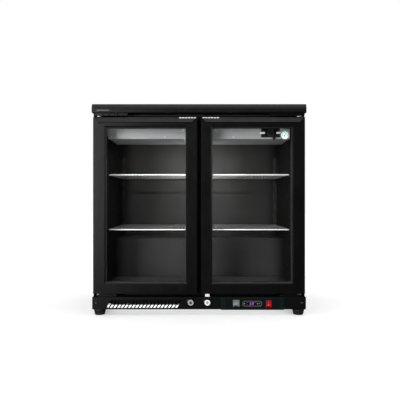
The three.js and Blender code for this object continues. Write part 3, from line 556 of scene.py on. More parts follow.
# grey(0.004) is the painted shade of the side walls, against the back wall's grey.
LINER = ("liner_steel", embossed_liner_painted_shade("liner_emboss_painted_shade", grey(0.028), grey(0.036), 0.5, grey(0.004),
                                       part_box("inner_liner")[1].x))
BLACK = plastic("black_plastic", "black_moulding", 0.006, 0.009, 0.45, 0.25)
GLOSS_BLACK = plastic("black_plastic", "gloss_black_moulding", 0.003, 0.005, 0.2, 0.2, 0.000004)
BEZEL = plastic("black_plastic", "controller_bezel", 0.10, 0.14, 0.3)
GREY = plastic("grey_plastic", "grey_moulding", 0.11, 0.13, 0.4)
HOUSING_GREY = plastic("grey_plastic", "housing_grey", 0.1, 0.12, 0.45)
WHITE = plastic("lamp_cover", "white_moulding", 0.78, 0.84, 0.35)
PAD = plastic("lamp_cover", "grip_pad", 0.46, 0.54, 0.4)
WIRE = plastic("shelf_wire", "rim_coating", 0.74, 0.8, 0.3, grain=0.00001)
# The wires share the rim's white coating; this dark tone is painted shade.
SHADED_WIRE = plastic("shelf_wire", "wire_coating_painted_shade", 0.12, 0.16, 0.45, grain=0.00001)
RED = ("red_plastic", moulded("red_moulding", (0.23, 0.002, 0.004), (0.27, 0.003, 0.005), 0.32, 0.15))
MARK = ("red_plastic", moulded("switch_print", (0.5, 0.08, 0.08), (0.56, 0.1, 0.1), 0.4))
TEAL = ("lamp_cover", moulded("teal_print", (0.07, 0.40, 0.36), (0.09, 0.46, 0.42), 0.4, grain=0.000005))
FILM = ("control_film", moulded("control_film", (0.0028, 0.0062, 0.0058), (0.0036, 0.0078, 0.0072),
                                0.3, 0.12, 0.00001))
INLAY = ("control_film", moulded("control_inlay", (0.0022, 0.0046, 0.0044), (0.0028, 0.0058, 0.0056),
                                 0.24, 0.1, 0.000005))
STEEL = metal("lock_steel", "bright_steel", 0.66, 0.76, 0.28, (1, 1, 8), 500, 0.35)
BOLT = metal("lock_steel", "bolt_steel", 0.86, 0.92, 0.4, metallic=0.1)
DARK_STEEL = metal("lock_steel", "blackened_steel", 0.05, 0.08, 0.35)
SATIN = metal("pale_steel", "satin_steel", 0.3, 0.38, 0.38, (1, 1, 6), 400, 0.4)
STRIP = metal("pale_steel", "strip_steel", 0.06, 0.09, 0.45, (1, 1, 4), 300)
SPACER = metal("pale_steel", "spacer_bar", 0.2, 0.26, 0.45)
ZINC = ("galvanised_steel", galvanised("galvanised_sheet"))
FINS = ("fin_aluminium", even("fin_aluminium", grey(0.558), grey(0.682), (0.3, 0.45),
                              ((150, 3), (300, 2), (450, 2)), 0.00004, 0.5, Metallic=1.0))
COPPER = ("fin_aluminium", even("copper_tube", (0.5, 0.2, 0.1), (0.75, 0.36, 0.2), (0.25, 0.45),
                                ((45, 4), (120, 3), (500, 2)), 0.00003, 0.4, Metallic=1.0))
SEAL = ("seal_rubber", even("seal_rubber", grey(0.008), grey(0.016), (0.62, 0.78),
                            ((40, 3), (150, 2), (1200, 2)), 0.00003, 0.5, Specular_IOR_Level=0.35))
FOAM = ("foam", foam("cabinet_foam"))
LAMP_GLOW = ("lamp_cover", glow("lamp_glow", (1, 0.98, 0.94), 5))
DIGIT_GLOW = ("lamp_cover", glow("digit_glow", (0.62, 0.12, 0.66), 0.75, (0.3, 0.05, 0.3)))
MARK_GLOW = ("lamp_cover", glow("mark_glow", (0.12, 0.2, 0.5), 0.8, (0.05, 0.1, 0.25)))
GLASS = ("clear_glass", pane_glass("pane_glass", (0.985, 0.987, 0.986), 0.0015))


# ---- Camera, light and floor --------------------------------------------------------------------

CAMERA_DISTANCE = 1.9
CAMERA_X = 0.004
CAMERA_HEIGHT = 0.484
PICTURE_WIDTH = 1.674            # what the view spans at the worktop's front edge
DOME_TOP = 1.74                  # the world's strength overhead, for diffuse light
DOME_EDGE = 0.12                 # and near the horizon
WORLD_REFLECTED = 0.05
LAMP_POWER = 2.6
FLOOR_GLOW = 0.42
FLOOR_HALF = 14
SOFTBOXES = (                    # name, place, target, size and power
    ("left_softbox", (-1.95, -2.9, 0.85), (-0.3, 0, 0.5), (1.5, 2.4), 150),
    ("top_softbox", (0.0, -1.5, 2.9), (0, 0, 0.7), (2.6, 1.6), 62),
    ("rear_fill", (0.6, 3.0, 2.2), (0, 0, 0.5), (2.4, 1.8), 40),
    ("right_softbox", (3.4, 0.3, 1.5), (0.45, 0.1, 0.5), (2.4, 2.2), 110),
    ("left_side_softbox", (-3.4, 0.9, 1.5), (-0.45, 0.1, 0.5), (2.0, 2.2), 50),
)


def camera():
    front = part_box("worktop")[0].y
    data = bpy.data.cameras.new("camera")
    data.sensor_width = 36
    data.lens = data.sensor_width * CAMERA_DISTANCE / PICTURE_WIDTH
    eye = bpy.data.objects.new("camera", data)
    eye.location = (CAMERA_X, front - CAMERA_DISTANCE, CAMERA_HEIGHT)
    eye.rotation_euler = (math.radians(90), 0, 0)
    bpy.context.scene.collection.objects.link(eye)
    bpy.context.scene.camera = eye


def area_light(name, location, target, size, power, colour=(1, 1, 1)):
    data = bpy.data.lights.new(name, "AREA")
    data.shape = "RECTANGLE"
    data.size, data.size_y = size
    data.energy = power
    data.color = colour
    lamp = bpy.data.objects.new(name, data)
    lamp.location = location
    lamp.rotation_euler = (Vector(target) - Vector(location)).to_track_quat("-Z", "Y").to_euler()
    bpy.context.scene.collection.objects.link(lamp)
    return lamp


def studio(ground):
    """White for the eye, a bright dome overhead for the floor, dim for reflections, and softboxes.

    The softboxes skip the floor, so that it doesn't outshine the black paint's own tone."""
    scene = bpy.context.scene
    scene.view_settings.view_transform = "Standard"
    world = bpy.data.worlds.new("studio")
    scene.world = world
    world.use_nodes = True
    tree = world.node_tree
    tree.nodes.clear()

    def background(strength):
        node = tree.nodes.new("ShaderNodeBackground")
        node.inputs["Color"].default_value = (1, 1, 1, 1)
        node.inputs["Strength"].default_value = strength
        return node

    def choose(ray, otherwise, when):
        mix = tree.nodes.new("ShaderNodeMixShader")
        tree.links.new(path.outputs[ray], mix.inputs[0])
        tree.links.new(otherwise, mix.inputs[1])
        tree.links.new(when, mix.inputs[2])
        return mix.outputs[0]

    path = tree.nodes.new("ShaderNodeLightPath")
    direction = tree.nodes.new("ShaderNodeTexCoord")
    parts = tree.nodes.new("ShaderNodeSeparateXYZ")
    tree.links.new(direction.outputs["Generated"], parts.inputs[0])
    height = tree.nodes.new("ShaderNodeMapRange")
    for key, number in (("From Min", 0.2), ("From Max", 0.7), ("To Min", DOME_EDGE), ("To Max", DOME_TOP)):
        height.inputs[key].default_value = number
    tree.links.new(parts.outputs["Z"], height.inputs["Value"])
    dome = background(DOME_TOP)
    tree.links.new(height.outputs["Result"], dome.inputs["Strength"])
    lit = choose("Is Diffuse Ray", background(WORLD_REFLECTED).outputs[0], dome.outputs[0])
    seen = choose("Is Camera Ray", lit, background(1.0).outputs[0])
    output = tree.nodes.new("ShaderNodeOutputWorld")
    tree.links.new(seen, output.inputs["Surface"])
    skipped = bpy.data.collections.new("softboxes_skip")
    skipped.objects.link(ground)
    skipped.collection_objects[0].light_linking.link_state = "EXCLUDE"
    for softbox in SOFTBOXES:
        area_light(*softbox).light_linking.receiver_collection = skipped


def floor():
    n = Nodes("floor")
    material = n.set(
        Base_Color=n.blend(n.noise(2, 2), grey(0.6), grey(0.62)),
        Roughness=0.6,
        Specular_IOR_Level=0.2,
        Emission_Color=(1, 1, 1, 1),
        Emission_Strength=FLOOR_GLOW,
    )
    bm = bmesh.new()
    bmesh.ops.create_grid(bm, x_segments=8, y_segments=8, size=FLOOR_HALF)
    mesh = bpy.data.meshes.new("floor")
    bm.to_mesh(mesh)
    bm.free()
    mesh.materials.append(material)
    ground = bpy.data.objects.new("floor", mesh)
    ground.location.z = -0.0005
    ground.visible_glossy = False
    bpy.context.scene.collection.objects.link(ground)
    return ground


# ---- Cabinet ------------------------------------------------------------------------------------

NAMEPLATE_X = (-428 * MM, -376 * MM)
NAMEPLATE_Z = (857.8 * MM, 862.4 * MM)
NAMEPLATE_DEPTH = 0.9 * MM
WORKTOP_SCREW_PITCH = 200 * MM
SCREW_R = 3.6 * MM
KICK_SCREW_INSET = 16 * MM
AIR_SLOTS = 11                   # along the rear wall, just above the step
AIR_SLOT_PITCH = 69 * MM
AIR_SLOT_WIDTH = 56 * MM
AIR_SLOT_Z = 321 * MM
MACHINE_FRONT = 60 * MM          # front of the compressor space
PIVOT_X = 422.5 * MM             # door hinge pins
PIVOT_Y = -240 * MM
LEAF_THICK = 3 * MM
HINGE_LEAF_X = 336 * MM
LEAF_SCREWS_X = (352 * MM, 386 * MM, 421 * MM)
LEDGE_RIVETS_X = (350 * MM, 374 * MM)


def screws(name, body, finish, spots, facing, radius=SCREW_R):
    """One piece holding a screw at each spot."""
    return piece(name, merge(*[screw(spot, facing, radius) for spot in spots]), body, finish)


def worktop():
    """The worktop's sheet, a blank nameplate let into its lip, and its screws."""
    low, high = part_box("worktop")
    (x0, x1), (z0, z1) = NAMEPLATE_X, NAMEPLATE_Z
    bm = round_edges(cad_mesh("worktop"), 1.6 * MM, 3)
    pocket = prism(round_outline(x0, x1, z0, z1, 2 * MM), "y",
                   low.y - NAMEPLATE_DEPTH, low.y + NAMEPLATE_DEPTH)
    piece("worktop_cover", carve(bm, pocket), "cabinet", PAINT, "worktop")
    gap = 0.25 * MM
    plate = prism(round_outline(x0 + gap, x1 - gap, z0 + gap, z1 - gap, 1.7 * MM), "y",
                  low.y + 0.15 * MM, low.y + 2 * NAMEPLATE_DEPTH, 0.12 * MM)
    piece("blank_nameplate", plate, "cabinet", DARK_STEEL)
    spots = [(side * 130 * MM, low.y + 1.6 * MM, low.z + 0.1 * MM) for _, side in SIDES]
    screws("worktop_lip_screws", "cabinet", STEEL, spots, "-z", 1.3 * MM)
    rear = [(i * WORKTOP_SCREW_PITCH, high.y - 1.8 * MM, low.z + 9 * MM) for i in range(-2, 3)]
    screws("worktop_rear_screws", "cabinet", BLACK, rear, "y", 3 * MM)


def lining():
    """Sheet that covers the foam's underside and the walls of the compressor space."""
    low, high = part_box("insulation")
    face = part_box("front_frame")[1].y
    wall = MACHINE_FRONT - 0.45 * MM
    sheet = 0.5 * MM
    clear = 0.15 * MM
    under = low.z - clear
    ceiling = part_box("rear_grille")[1].z + clear
    outline = [
        (face + MM, under - sheet), (wall + sheet, under - sheet), (wall + sheet, ceiling - sheet),
        (high.y - MM, ceiling - sheet), (high.y - MM, ceiling), (wall, ceiling), (wall, under),
        (face + MM, under),
    ]
    half = high.x - 0.4 * MM
    piece("machine_space_lining", prism(outline, "x", -half, half), "cabinet", ZINC)


def air_slots():
    """Black plates a little way inside the slots of the rear wall, in front of the foam: painted shade for the
    dark inside of the slots.
    """
    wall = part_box("inner_liner")[1].y
    shapes = []
    for i in range(AIR_SLOTS):
        x = (i - (AIR_SLOTS - 1) / 2) * AIR_SLOT_PITCH
        half = AIR_SLOT_WIDTH / 2 - 0.2 * MM
        shapes.append(block((x - half, wall + 0.6 * MM, AIR_SLOT_Z - 2.8 * MM),
                            (x + half, wall + 2 * MM, AIR_SLOT_Z + 2.8 * MM), 0.3 * MM))
    piece("air_slot_painted_shade", merge(*shapes), "cabinet", BLACK)


def worktop_seal():
    """A black strip that closes the joint between the cabinet face and the worktop, between the hinges."""
    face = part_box("front_frame")[0].y
    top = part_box("worktop")[0].z
    half = HINGE_LEAF_X - 0.5 * MM
    strip = block((-half, face - 1.7 * MM, top - 5 * MM), (half, face - 0.15 * MM, top - 0.1 * MM), 0.4 * MM)
    piece("worktop_seal", strip, "cabinet", SEAL)


def back():
    """Rows of screws round the rear panel and the grille."""
    low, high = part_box("rear_panel")
    y = high.y - 0.1 * MM
    inset = 9 * MM
    spots = []
    for i in range(6):
        spots.append((low.x + inset + i * (high.x - low.x - 2 * inset) / 5, y, high.z - inset))
    for i in range(1, 4):
        for x in (low.x + inset, high.x - inset):
            spots.append((x, y, high.z - inset - i * (high.z - low.z - 2 * inset) / 4))
    screws("rear_panel_screws", "cabinet", STEEL, spots, "y")
    grille_low, grille_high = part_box("rear_grille")
    spots = []
    for i in range(5):
        x = grille_low.x + inset + i * (grille_high.x - grille_low.x - 2 * inset) / 4
        spots.append((x, y, grille_low.z + inset))
        spots.append((x, y, grille_high.z - inset))
    screws("rear_grille_screws", "cabinet", BLACK, spots, "y")


def kick_panel():
    """The kick panel with a blackened steel screw in a painted pressed cup near each end."""
    low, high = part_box("kick_panel")
    refined("kick_panel", "cabinet", PAINT, 0.35)
    height = (low.z + high.z) / 2
    for word, side in SIDES:
        centre = Vector((side * (high.x - KICK_SCREW_INSET), low.y + 0.1 * MM, height))
        cup = lathe(in_mm(
            (0, 0), (8, 0), (7.6, 1.1), (6.4, 1.7), (5.2, 1.2), (5.0, 0.5), (0, 0.5),
        ), "-y", centre)
        piece(f"kick_screw_cup_{word}", cup, "cabinet", PAINT)
        head = screw(centre - Vector((0, 0.4 * MM, 0)), "-y", 4.6 * MM)
        piece(f"kick_screw_{word}", head, "cabinet", DARK_STEEL)


def rubber_foot(place, word):
    """A levelling foot: a ribbed round base, a hexagon to turn it by and its stem."""
    node = f"foot_{place}_{word}"
    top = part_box(node)[1].z
    centre = middle(node)
    centre.z = 0
    base = lathe(in_mm(
        (0, 0.2), (16, 0.2), (17, 0), (20.2, 0), (21, 0.8), (22.2, 6.4), (21.7, 7.2), (22.6, 8.2),
        (24.8, 18.4), (25.5, 19.2), (25.3, 20.6), (24.2, 21), (0, 21),
    ), "z", centre, 64)
    corners = [(centre.x + 22 * MM * math.cos(a), centre.y + 22 * MM * math.sin(a))
               for a in (i * TURN / 6 for i in range(6))]
    hexagon = prism(corners, "z", 20.8 * MM, 24.7 * MM, 0.6 * MM)
    thread = [(0, 24.4 * MM)]
    for i in range(11):
        z = 24.6 + 1.4 * i
        thread += [(5.4 * MM, z * MM), (6 * MM, (z + 0.7) * MM)]
    thread += [(5.4 * MM, top - 0.1 * MM), (0, top)]
    piece(f"{node}_base", merge(base, hexagon), node, BLACK, node)
    piece(f"{node}_stem", lathe(thread, "z", centre, 32), node, ZINC)


def hinges():
    """The brackets, with a bright bush round each pin and screws in their leaves."""
    for word, side in SIDES:
        door_low, door_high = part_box(f"door_{word}_frame")
        for place in ("upper", "lower"):
            node = f"{place}_hinge_{word}"
            refined(node, "cabinet", PAINT, 0.5)
            low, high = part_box(node)
            if place == "upper":
                gap_low, gap_high = door_high.z + 0.7 * MM, door_high.z + 4.3 * MM
                leaf_z = high.z - 4.5 * MM
            else:
                gap_low, gap_high = door_low.z - 5.8 * MM, door_low.z - 0.7 * MM
                leaf_z = low.z + 8 * MM
            bush = lathe([
                (8.6 * MM, gap_low), (9.2 * MM, gap_low), (9.6 * MM, gap_low + 0.4 * MM),
                (9.6 * MM, gap_high - 0.4 * MM), (9.2 * MM, gap_high), (8.6 * MM, gap_high), (8.6 * MM, gap_low),
            ], "z", (side * PIVOT_X, PIVOT_Y, 0))
            piece(f"{place}_hinge_bush_{word}", bush, "cabinet", SATIN)
            spots = [(side * x, high.y - LEAF_THICK + 0.1 * MM, leaf_z) for x in LEAF_SCREWS_X]
            screws(f"{place}_hinge_screws_{word}", "cabinet", DARK_STEEL, spots, "-y", 3.2 * MM)
        ledge = door_high.z + 7.4 * MM
        rivets = [(side * x, PIVOT_Y + 12 * MM, ledge) for x in LEDGE_RIVETS_X]
        screws(f"upper_hinge_rivets_{word}", "cabinet", DARK_STEEL, rivets, "z", 3 * MM)


def cabinet():
    worktop()
    worktop_seal()
    lining()
    air_slots()
    back()
    kick_panel()
    hinges()
    for word, _ in SIDES:
        refined(f"side_panel_{word}", "cabinet", PAINT, 0.5)
    refined("front_frame", "cabinet", RECESS, 0.6)
    refined("centre_mullion", "cabinet", RECESS, 1.5, 3)
    # Painted light: the near-white pan shows bright through the kick panel's slots.
    refined("base_pan", "cabinet", PAN_PAINTED_LIGHT, 0.4)
    refined("rear_panel", "cabinet", ZINC, 0.4)
    refined("rear_grille", "cabinet", PAINT, 0.4)
    refined("insulation", "cabinet", FOAM, 0.6)
    refined("inner_liner", "cabinet", LINER, 0.4)
    for place in ("front", "rear"):
        for word, _ in SIDES:
            rubber_foot(place, word)


# ---- Doors --------------------------------------------------------------------------------------

REBATE = 12 * MM                 # how far the glass goes into the frame
WINDOW_CHAMFER = 4.5 * MM
SLOPE_LOW_Z = 811 * MM           # where the door's top rail begins to lean back
SLOPE_RISE = 23 * MM
SLOPE_DEPTH = 8 * MM
GRIP_PADS = 6
THERMOMETER_X = 361 * MM
THERMOMETER_Z = 757 * MM
SCALE_START = math.radians(-30)  # of the dial, from +X
SCALE_SWEEP = math.radians(240)
POINTER_AT = math.radians(64)


def window(word):
    """The window opening's lowest and highest x and z."""
    low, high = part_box(f"door_{word}_outer_glass")
    return low.x + REBATE, high.x - REBATE, low.z + REBATE, high.z - REBATE


def turned(angle):
    """The unit vector at an angle, and the one a quarter turn on."""
    ahead = Vector((math.cos(angle), math.sin(angle)))
    return ahead, Vector((-ahead.y, ahead.x))


def mitre_cutters(low, high, opening, y):
    """Thin blades along the four corner joints of the door frame's front."""
    x0, x1, z0, z1 = opening
    half = 0.22 * MM
    blades = []
    for outer, inner in (((low.x, low.z), (x0, z0)), ((high.x, low.z), (x1, z0)),
                         ((high.x, high.z), (x1, z1)), ((low.x, high.z), (x0, z1))):
        a, b = Vector(outer), Vector(inner)
        heading = (b - a).normalized()
        a, b = a - heading * 2 * MM, b + heading * 2 * MM
        side = Vector((-heading.y, heading.x)) * half
        blades.append(prism([tuple(a + side), tuple(b + side), tuple(b - side), tuple(a - side)], "y",
                            y - MM, y + 0.7 * MM))
    return blades


def door_frame(word):
    """The frame with a chamfer round its window and fine lines at its mitres."""
    node = f"door_{word}_frame"
    low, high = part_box(node)
    x0, x1, z0, z1 = window(word)
    bm = cad_mesh(node)
    reach = 0.2 * MM

    def on_window(vert):
        p = vert.co
        return abs(p.y - low.y) < reach and x0 - reach < p.x < x1 + reach and z0 - reach < p.z < z1 + reach

    rim = [e for e in bm.edges if all(on_window(v) for v in e.verts)]
    bmesh.ops.bevel(bm, geom=rim, offset=WINDOW_CHAMFER, segments=1, affect="EDGES", clamp_overlap=True)
    round_edges(bm, 0.9 * MM, 3)
    opening = (x0 - WINDOW_CHAMFER, x1 + WINDOW_CHAMFER, z0 - WINDOW_CHAMFER, z1 + WINDOW_CHAMFER)
    members = carve(bm, *mitre_cutters(low, high, opening, low.y))
    piece(f"{node}_members", members, f"door_{word}", DOOR_PAINT, node)


def door_glass(word):
    """The two panes, the spacer between them and a bead round each side of the window."""
    body = f"door_{word}"
    for layer in ("outer", "inner"):
        refined(f"door_{word}_{layer}_glass", body, GLASS, 0.4)
    outer_low, outer_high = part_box(f"door_{word}_outer_glass")
    inner_low, inner_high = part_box(f"door_{word}_inner_glass")
    gap0, gap1 = outer_high.y + 0.2 * MM, inner_low.y - 0.2 * MM
    section = [(4 * MM, gap0), (11.2 * MM, gap0), (11.7 * MM, gap0 + MM), (11.7 * MM, gap1 - MM),
               (11.2 * MM, gap1), (4 * MM, gap1)]
    spacer = frame_sweep(section, outer_low.x, outer_high.x, outer_low.z, outer_high.z)
    piece(f"door_{word}_glass_spacer", spacer, body, SPACER)
    for layer, glass_y, reveal in (("outer", outer_low.y, -1), ("inner", inner_high.y, 1)):
        near = glass_y + reveal * 0.15 * MM
        far = glass_y + reveal * 2.6 * MM
        bead = [(0.1 * MM, near), (2.6 * MM, near), (2.4 * MM, near + reveal * MM), (1.2 * MM, far),
                (0.1 * MM, far)]
        piece(f"door_{word}_{layer}_bead", frame_sweep(bead, *window(word)), body, SEAL)


def door_gasket(word):
    """Bellows of the magnetic seal: a foot on the door, two folds and the flat magnet pocket."""
    node = f"door_{word}_gasket"
    low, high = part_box(node)
    width = 12 * MM
    depth = high.y - low.y
    half = [(0.04, 0.0), (0.01, 0.10), (0.17, 0.24), (0.02, 0.42), (0.06, 0.52), (0.0, 0.60), (0.0, 0.92),
            (0.06, 1.0)]
    left = [(u * width, low.y + v * depth) for u, v in half]
    right = [(width - u, y) for u, y in reversed(left)]
    bellows = frame_sweep(left + right, low.x, high.x, low.z, high.z)
    piece(f"{node}_bellows", bellows, f"door_{word}", SEAL, node)


def leaned(bm, front):
    """Turns a mesh made upright on the door's front so that it lies on the leaning top rail."""
    hinge = Vector((0, front, SLOPE_LOW_Z))
    lean = Matrix.Rotation(-math.atan2(SLOPE_DEPTH, SLOPE_RISE), 4, "X")
    place = Matrix.Translation(hinge) @ lean @ Matrix.Translation(-hinge)
    bmesh.ops.transform(bm, matrix=place, verts=bm.verts)
    return bm


def grip_insert(word, side):
    """A row of pale pads in a dark tray on the leaning rail, near the meeting edge."""
    low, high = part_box(f"door_{word}_frame")
    pitch, length, height = 12.2 * MM, 9.8 * MM, 3.8 * MM
    inner = min(abs(low.x), abs(high.x)) + 4.6 * MM
    z0 = high.z - 4.6 * MM
    shapes = []
    for i in range(GRIP_PADS):
        x0 = inner + i * pitch
        ends = sorted((side * x0, side * (x0 + length)))
        shapes.append(prism(round_outline(*ends, z0, z0 + height, 1.6 * MM), "y",
                            low.y - 1.5 * MM, low.y + MM, 0.6 * MM, 3))
    piece(f"door_{word}_grip_pads", leaned(merge(*shapes), low.y), f"door_{word}", PAD)
    ends = sorted((side * (inner - 1.4 * MM), side * (inner + GRIP_PADS * pitch - MM)))
    tray = prism(round_outline(*ends, z0 - 1.2 * MM, z0 + height + 0.9 * MM, MM), "y",
                 low.y - 0.6 * MM, low.y + 0.8 * MM, 0.25 * MM)
    piece(f"door_{word}_grip_tray", leaned(tray, low.y), f"door_{word}", GLOSS_BLACK)


def thermometer():
    """A plain dial thermometer on the right door's glass."""
    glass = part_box("door_right_outer_glass")[0].y
    x, z = THERMOMETER_X, THERMOMETER_Z
    hub = Vector((x, z))
    bezel = lathe(in_mm(
        (0, 0), (20.4, 0), (20.8, 0.6), (20.4, 3.2), (19, 4.4), (17, 4.6), (16, 4), (15.6, 2.4), (0, 2.4),
    ), "-y", (x, glass - 0.2 * MM, z), 72)
    piece("thermometer_bezel", bezel, "door_right", BLACK)
    beads = []
    for i in range(24):
        bead = hub + 18.2 * MM * turned(i * TURN / 24)[0]
        beads.append(lathe(in_mm((0, -0.6), (1.3, -0.6), (1.2, 0.3), (0.7, 0.8), (0, 1)), "-y",
                           (bead.x, glass - 4.6 * MM, bead.y), 12))
    piece("thermometer_beads", merge(*beads), "door_right", STEEL)
    face_y = glass - 2.7 * MM
    dial = lathe(in_mm((0, 0), (15.4, 0), (15.4, 0.3), (0, 0.3)), "-y", (x, face_y, z), 72)
    piece("thermometer_dial", dial, "door_right", WHITE)
    band = [turned(SCALE_START + SCALE_SWEEP * i / 40)[0] for i in range(41)]
    ring = [hub + 13.2 * MM * spoke for spoke in band] + [hub + 8.4 * MM * spoke for spoke in reversed(band)]
    print_depth = (face_y - 0.5 * MM, face_y - 0.2 * MM)
    piece("thermometer_scale", prism(ring, "y", *print_depth), "door_right", TEAL)
    marks = []
    for i in range(13):
        ahead, across = turned(SCALE_START + SCALE_SWEEP * i / 12)
        across *= 0.35 * MM
        inner, outer = hub + ahead * 13.4 * MM, hub + ahead * (15 if i % 3 else 15.2) * MM
        corners = [inner + across, outer + across, outer - across, inner - across]
        marks.append(prism(corners, "y", *print_depth))
    aim, across = turned(POINTER_AT)
    tail = hub - aim * 8 * MM
    pointer = [hub + aim * 12 * MM, hub + across * 2.3 * MM, tail + across * 1.7 * MM,
               tail - across * 1.7 * MM, hub - across * 2.3 * MM]
    marks.append(prism(pointer, "y", face_y - 1.1 * MM, face_y - 0.7 * MM, 0.1 * MM))
    marks.append(lathe(in_mm((0, 0), (2.4, 0), (2.2, 1.2), (1.2, 1.6), (0, 1.7)), "-y",
                       (x, face_y - 0.2 * MM, z), 24))
    piece("thermometer_pointer", merge(*marks), "door_right", BLACK)
    lens = lathe(in_mm((0, 0), (15.9, 0), (15.9, 0.7), (0, 1.1)), "-y", (x, glass - 4.3 * MM, z), 72)
    piece("thermometer_lens", lens, "door_right", GLASS)


def doors():
    for word, side in SIDES:
        door_frame(word)
        door_glass(word)
        door_gasket(word)
        grip_insert(word, side)
    thermometer()


# ---- Shelves ------------------------------------------------------------------------------------

RIM_R = 2.6 * MM
ROD_R = 2.2 * MM
CROSS_RODS = (0.34, 0.67)        # as shares of the shelf's depth
STRIP_THICK = 3 * MM
STRIP_SLOT_PITCH = 24 * MM
WIRE_R = 1.45 * MM
WIRE_PITCH = 15.6 * MM


def wire_shelf(level):
    """Wires from front to back on a rim and two cross rods; the front of the rim is a piece of its own. The
    front rail keeps the white coating, and the wires, cross rods and the rest of the rim are painted dark as
    shade.
    """
    node = f"shelf_{level}"
    low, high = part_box(node)
    z = low.z + 0.4 * MM + RIM_R
    corner = 5 * MM
    x0, x1, y0, y1 = low.x + RIM_R, high.x - RIM_R, low.y + RIM_R, high.y - RIM_R
    steps = 8
    loop = [(u, v, z) for u, v in round_outline(x0, x1, y0, y1, corner, steps)]
    front = loop[-steps - 1:] + loop[:steps + 1]
    piece(f"{node}_front_rail", sweep(front, RIM_R, 12), node, WIRE, node, smooth=50)
    rods = [sweep(loop[steps:-steps], RIM_R, 12)]
    for share in CROSS_RODS:
        y = low.y + (high.y - low.y) * share
        rods.append(sweep([(x0, y, z), (x1, y, z)], ROD_R, 10))
    span = x1 - x0 - 2 * corner
    count = round(span / WIRE_PITCH)
    top = z + RIM_R + WIRE_R * 0.6
    for i in range(count + 1):
        x = x0 + corner + span * i / count
        wire = [(x, y0 - 1.2 * MM, top - 2.2 * MM), (x, y0 - 0.6 * MM, top - 0.7 * MM),
                (x, y0 + 1.2 * MM, top), (x, y1 - 1.2 * MM, top),
                (x, y1 + 0.6 * MM, top - 0.7 * MM), (x, y1 + 1.2 * MM, top - 2.2 * MM)]
        rods.append(sweep(wire, WIRE_R, 8))
    # The wires and the rest of the rim are painted dark, painted shade.
    piece(f"{node}_wires", merge(*rods), node, SHADED_WIRE, smooth=50)


def shelf_strip(place, word, side):
    """A slotted upright with a bent clip hooked into it under each shelf, and a cap on its end."""
    node = f"shelf_strip_{place}_{word}"
    low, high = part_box(node)
    on_side = place == "front"
    wall = (high.x if side > 0 else low.x) if on_side else high.y
    inward = -side if on_side else -1
    edge_low, edge_high = (low.y, high.y) if on_side else (low.x, high.x)
    mid = (edge_low + edge_high) / 2

    def box_at(depth0, depth1, half, z0, z1, bevel=0.0):
        """A box by its depths from the wall, its half width about the strip's middle and its heights."""
        near, far = sorted((wall + inward * depth0, wall + inward * depth1))
        if on_side:
            return block((near, mid - half, z0), (far, mid + half, z1), bevel)
        return block((mid - half, near, z0), (mid + half, far, z1), bevel)

    half = (edge_high - edge_low) / 2
    count = int((high.z - low.z) / STRIP_SLOT_PITCH)
    start = (low.z + high.z - (count - 1) * STRIP_SLOT_PITCH) / 2
    slots = [
        box_at(1.4 * MM, STRIP_THICK + MM, 4 * MM, z - 3.4 * MM, z + 3.4 * MM)
        for z in (start + i * STRIP_SLOT_PITCH for i in range(count))
    ]
    strip = box_at(0, STRIP_THICK, half, low.z, high.z, 0.7 * MM)
    piece(f"{node}_channel", carve(strip, *slots), "cabinet", STRIP, node)
    clips = []
    for level in ("lower", "upper"):
        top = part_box(f"shelf_{level}")[0].z - 0.3 * MM
        hook = ((0, 0), (10.6, 0), (10.6, -2.2), (3.4, -9), (0, -11))
        side_view = [(wall + inward * (STRIP_THICK + u * MM), top + v * MM) for u, v in hook]
        axis = "y" if on_side else "x"
        clips.append(prism(side_view, axis, mid - 4.6 * MM, mid + 4.6 * MM, 0.5 * MM))
    piece(f"{node}_clips", merge(*clips), "cabinet", DARK_STEEL)
    cap = box_at(0, STRIP_THICK + MM, half + MM, high.z, high.z + 8 * MM, 0.8 * MM)
    piece(f"{node}_cap", cap, "cabinet", BLACK)


def shelves():
    for level in ("lower", "upper"):
        wire_shelf(level)
    for place in ("front", "rear"):
        for word, side in SIDES:
            shelf_strip(place, word, side)


# ---- Cooling ------------------------------------------------------------------------------------

COVER_SCREWS_X = (-386 * MM, -150 * MM, 150 * MM, 386 * MM)
BRACKET_Y = (-200 * MM, -171 * MM)
BRACKET_Z = (764 * MM, 805 * MM)
SENSOR_Z = 756 * MM
LAMP_SCREW_X = 70 * MM
LAMP_SCREW_Z = 788 * MM
MOUNT_X = 90 * MM                # of the compressor's mounts from its middle
MOUNT_Y = 48 * MM
FAN_POST_Y = (170 * MM, 196 * MM)


def blade(hub, tip, chord, pitch_root, pitch_tip, thick, spin):
    """A twisted fan blade standing out from a hub whose axle is +Z, turned by spin."""
    rings = []
    for i in range(9):
        share = i / 8
        radius = hub + (tip - hub) * share
        pitch = math.radians(pitch_root + (pitch_tip - pitch_root) * share)
        width = chord * (0.62 + 0.5 * share - 0.28 * share ** 3)
        sweep_back = 0.16 * chord * share ** 2
        ring = []
        for k in range(16):
            a = k * TURN / 16
            u, v = 0.5 * width * math.cos(a), 0.5 * thick * math.sin(a)
            camber = 0.07 * width * (1 - (2 * u / width) ** 2)
            u, v = u + sweep_back, v + camber
            ring.append((radius, u * math.cos(pitch) - v * math.sin(pitch),
                         u * math.sin(pitch) + v * math.cos(pitch)))
        rings.append(ring)
    return loft(rings, Matrix.Rotation(spin, 4, "Z"))


def spin_centre(node):
    """The point on a fan's own axis that its joint turns about."""
    for joint in frame["record"]["behaviour"]["joints"]:
        if joint["child"] == node:
            return Vector(joint["pos_m"])
    raise ValueError(node)


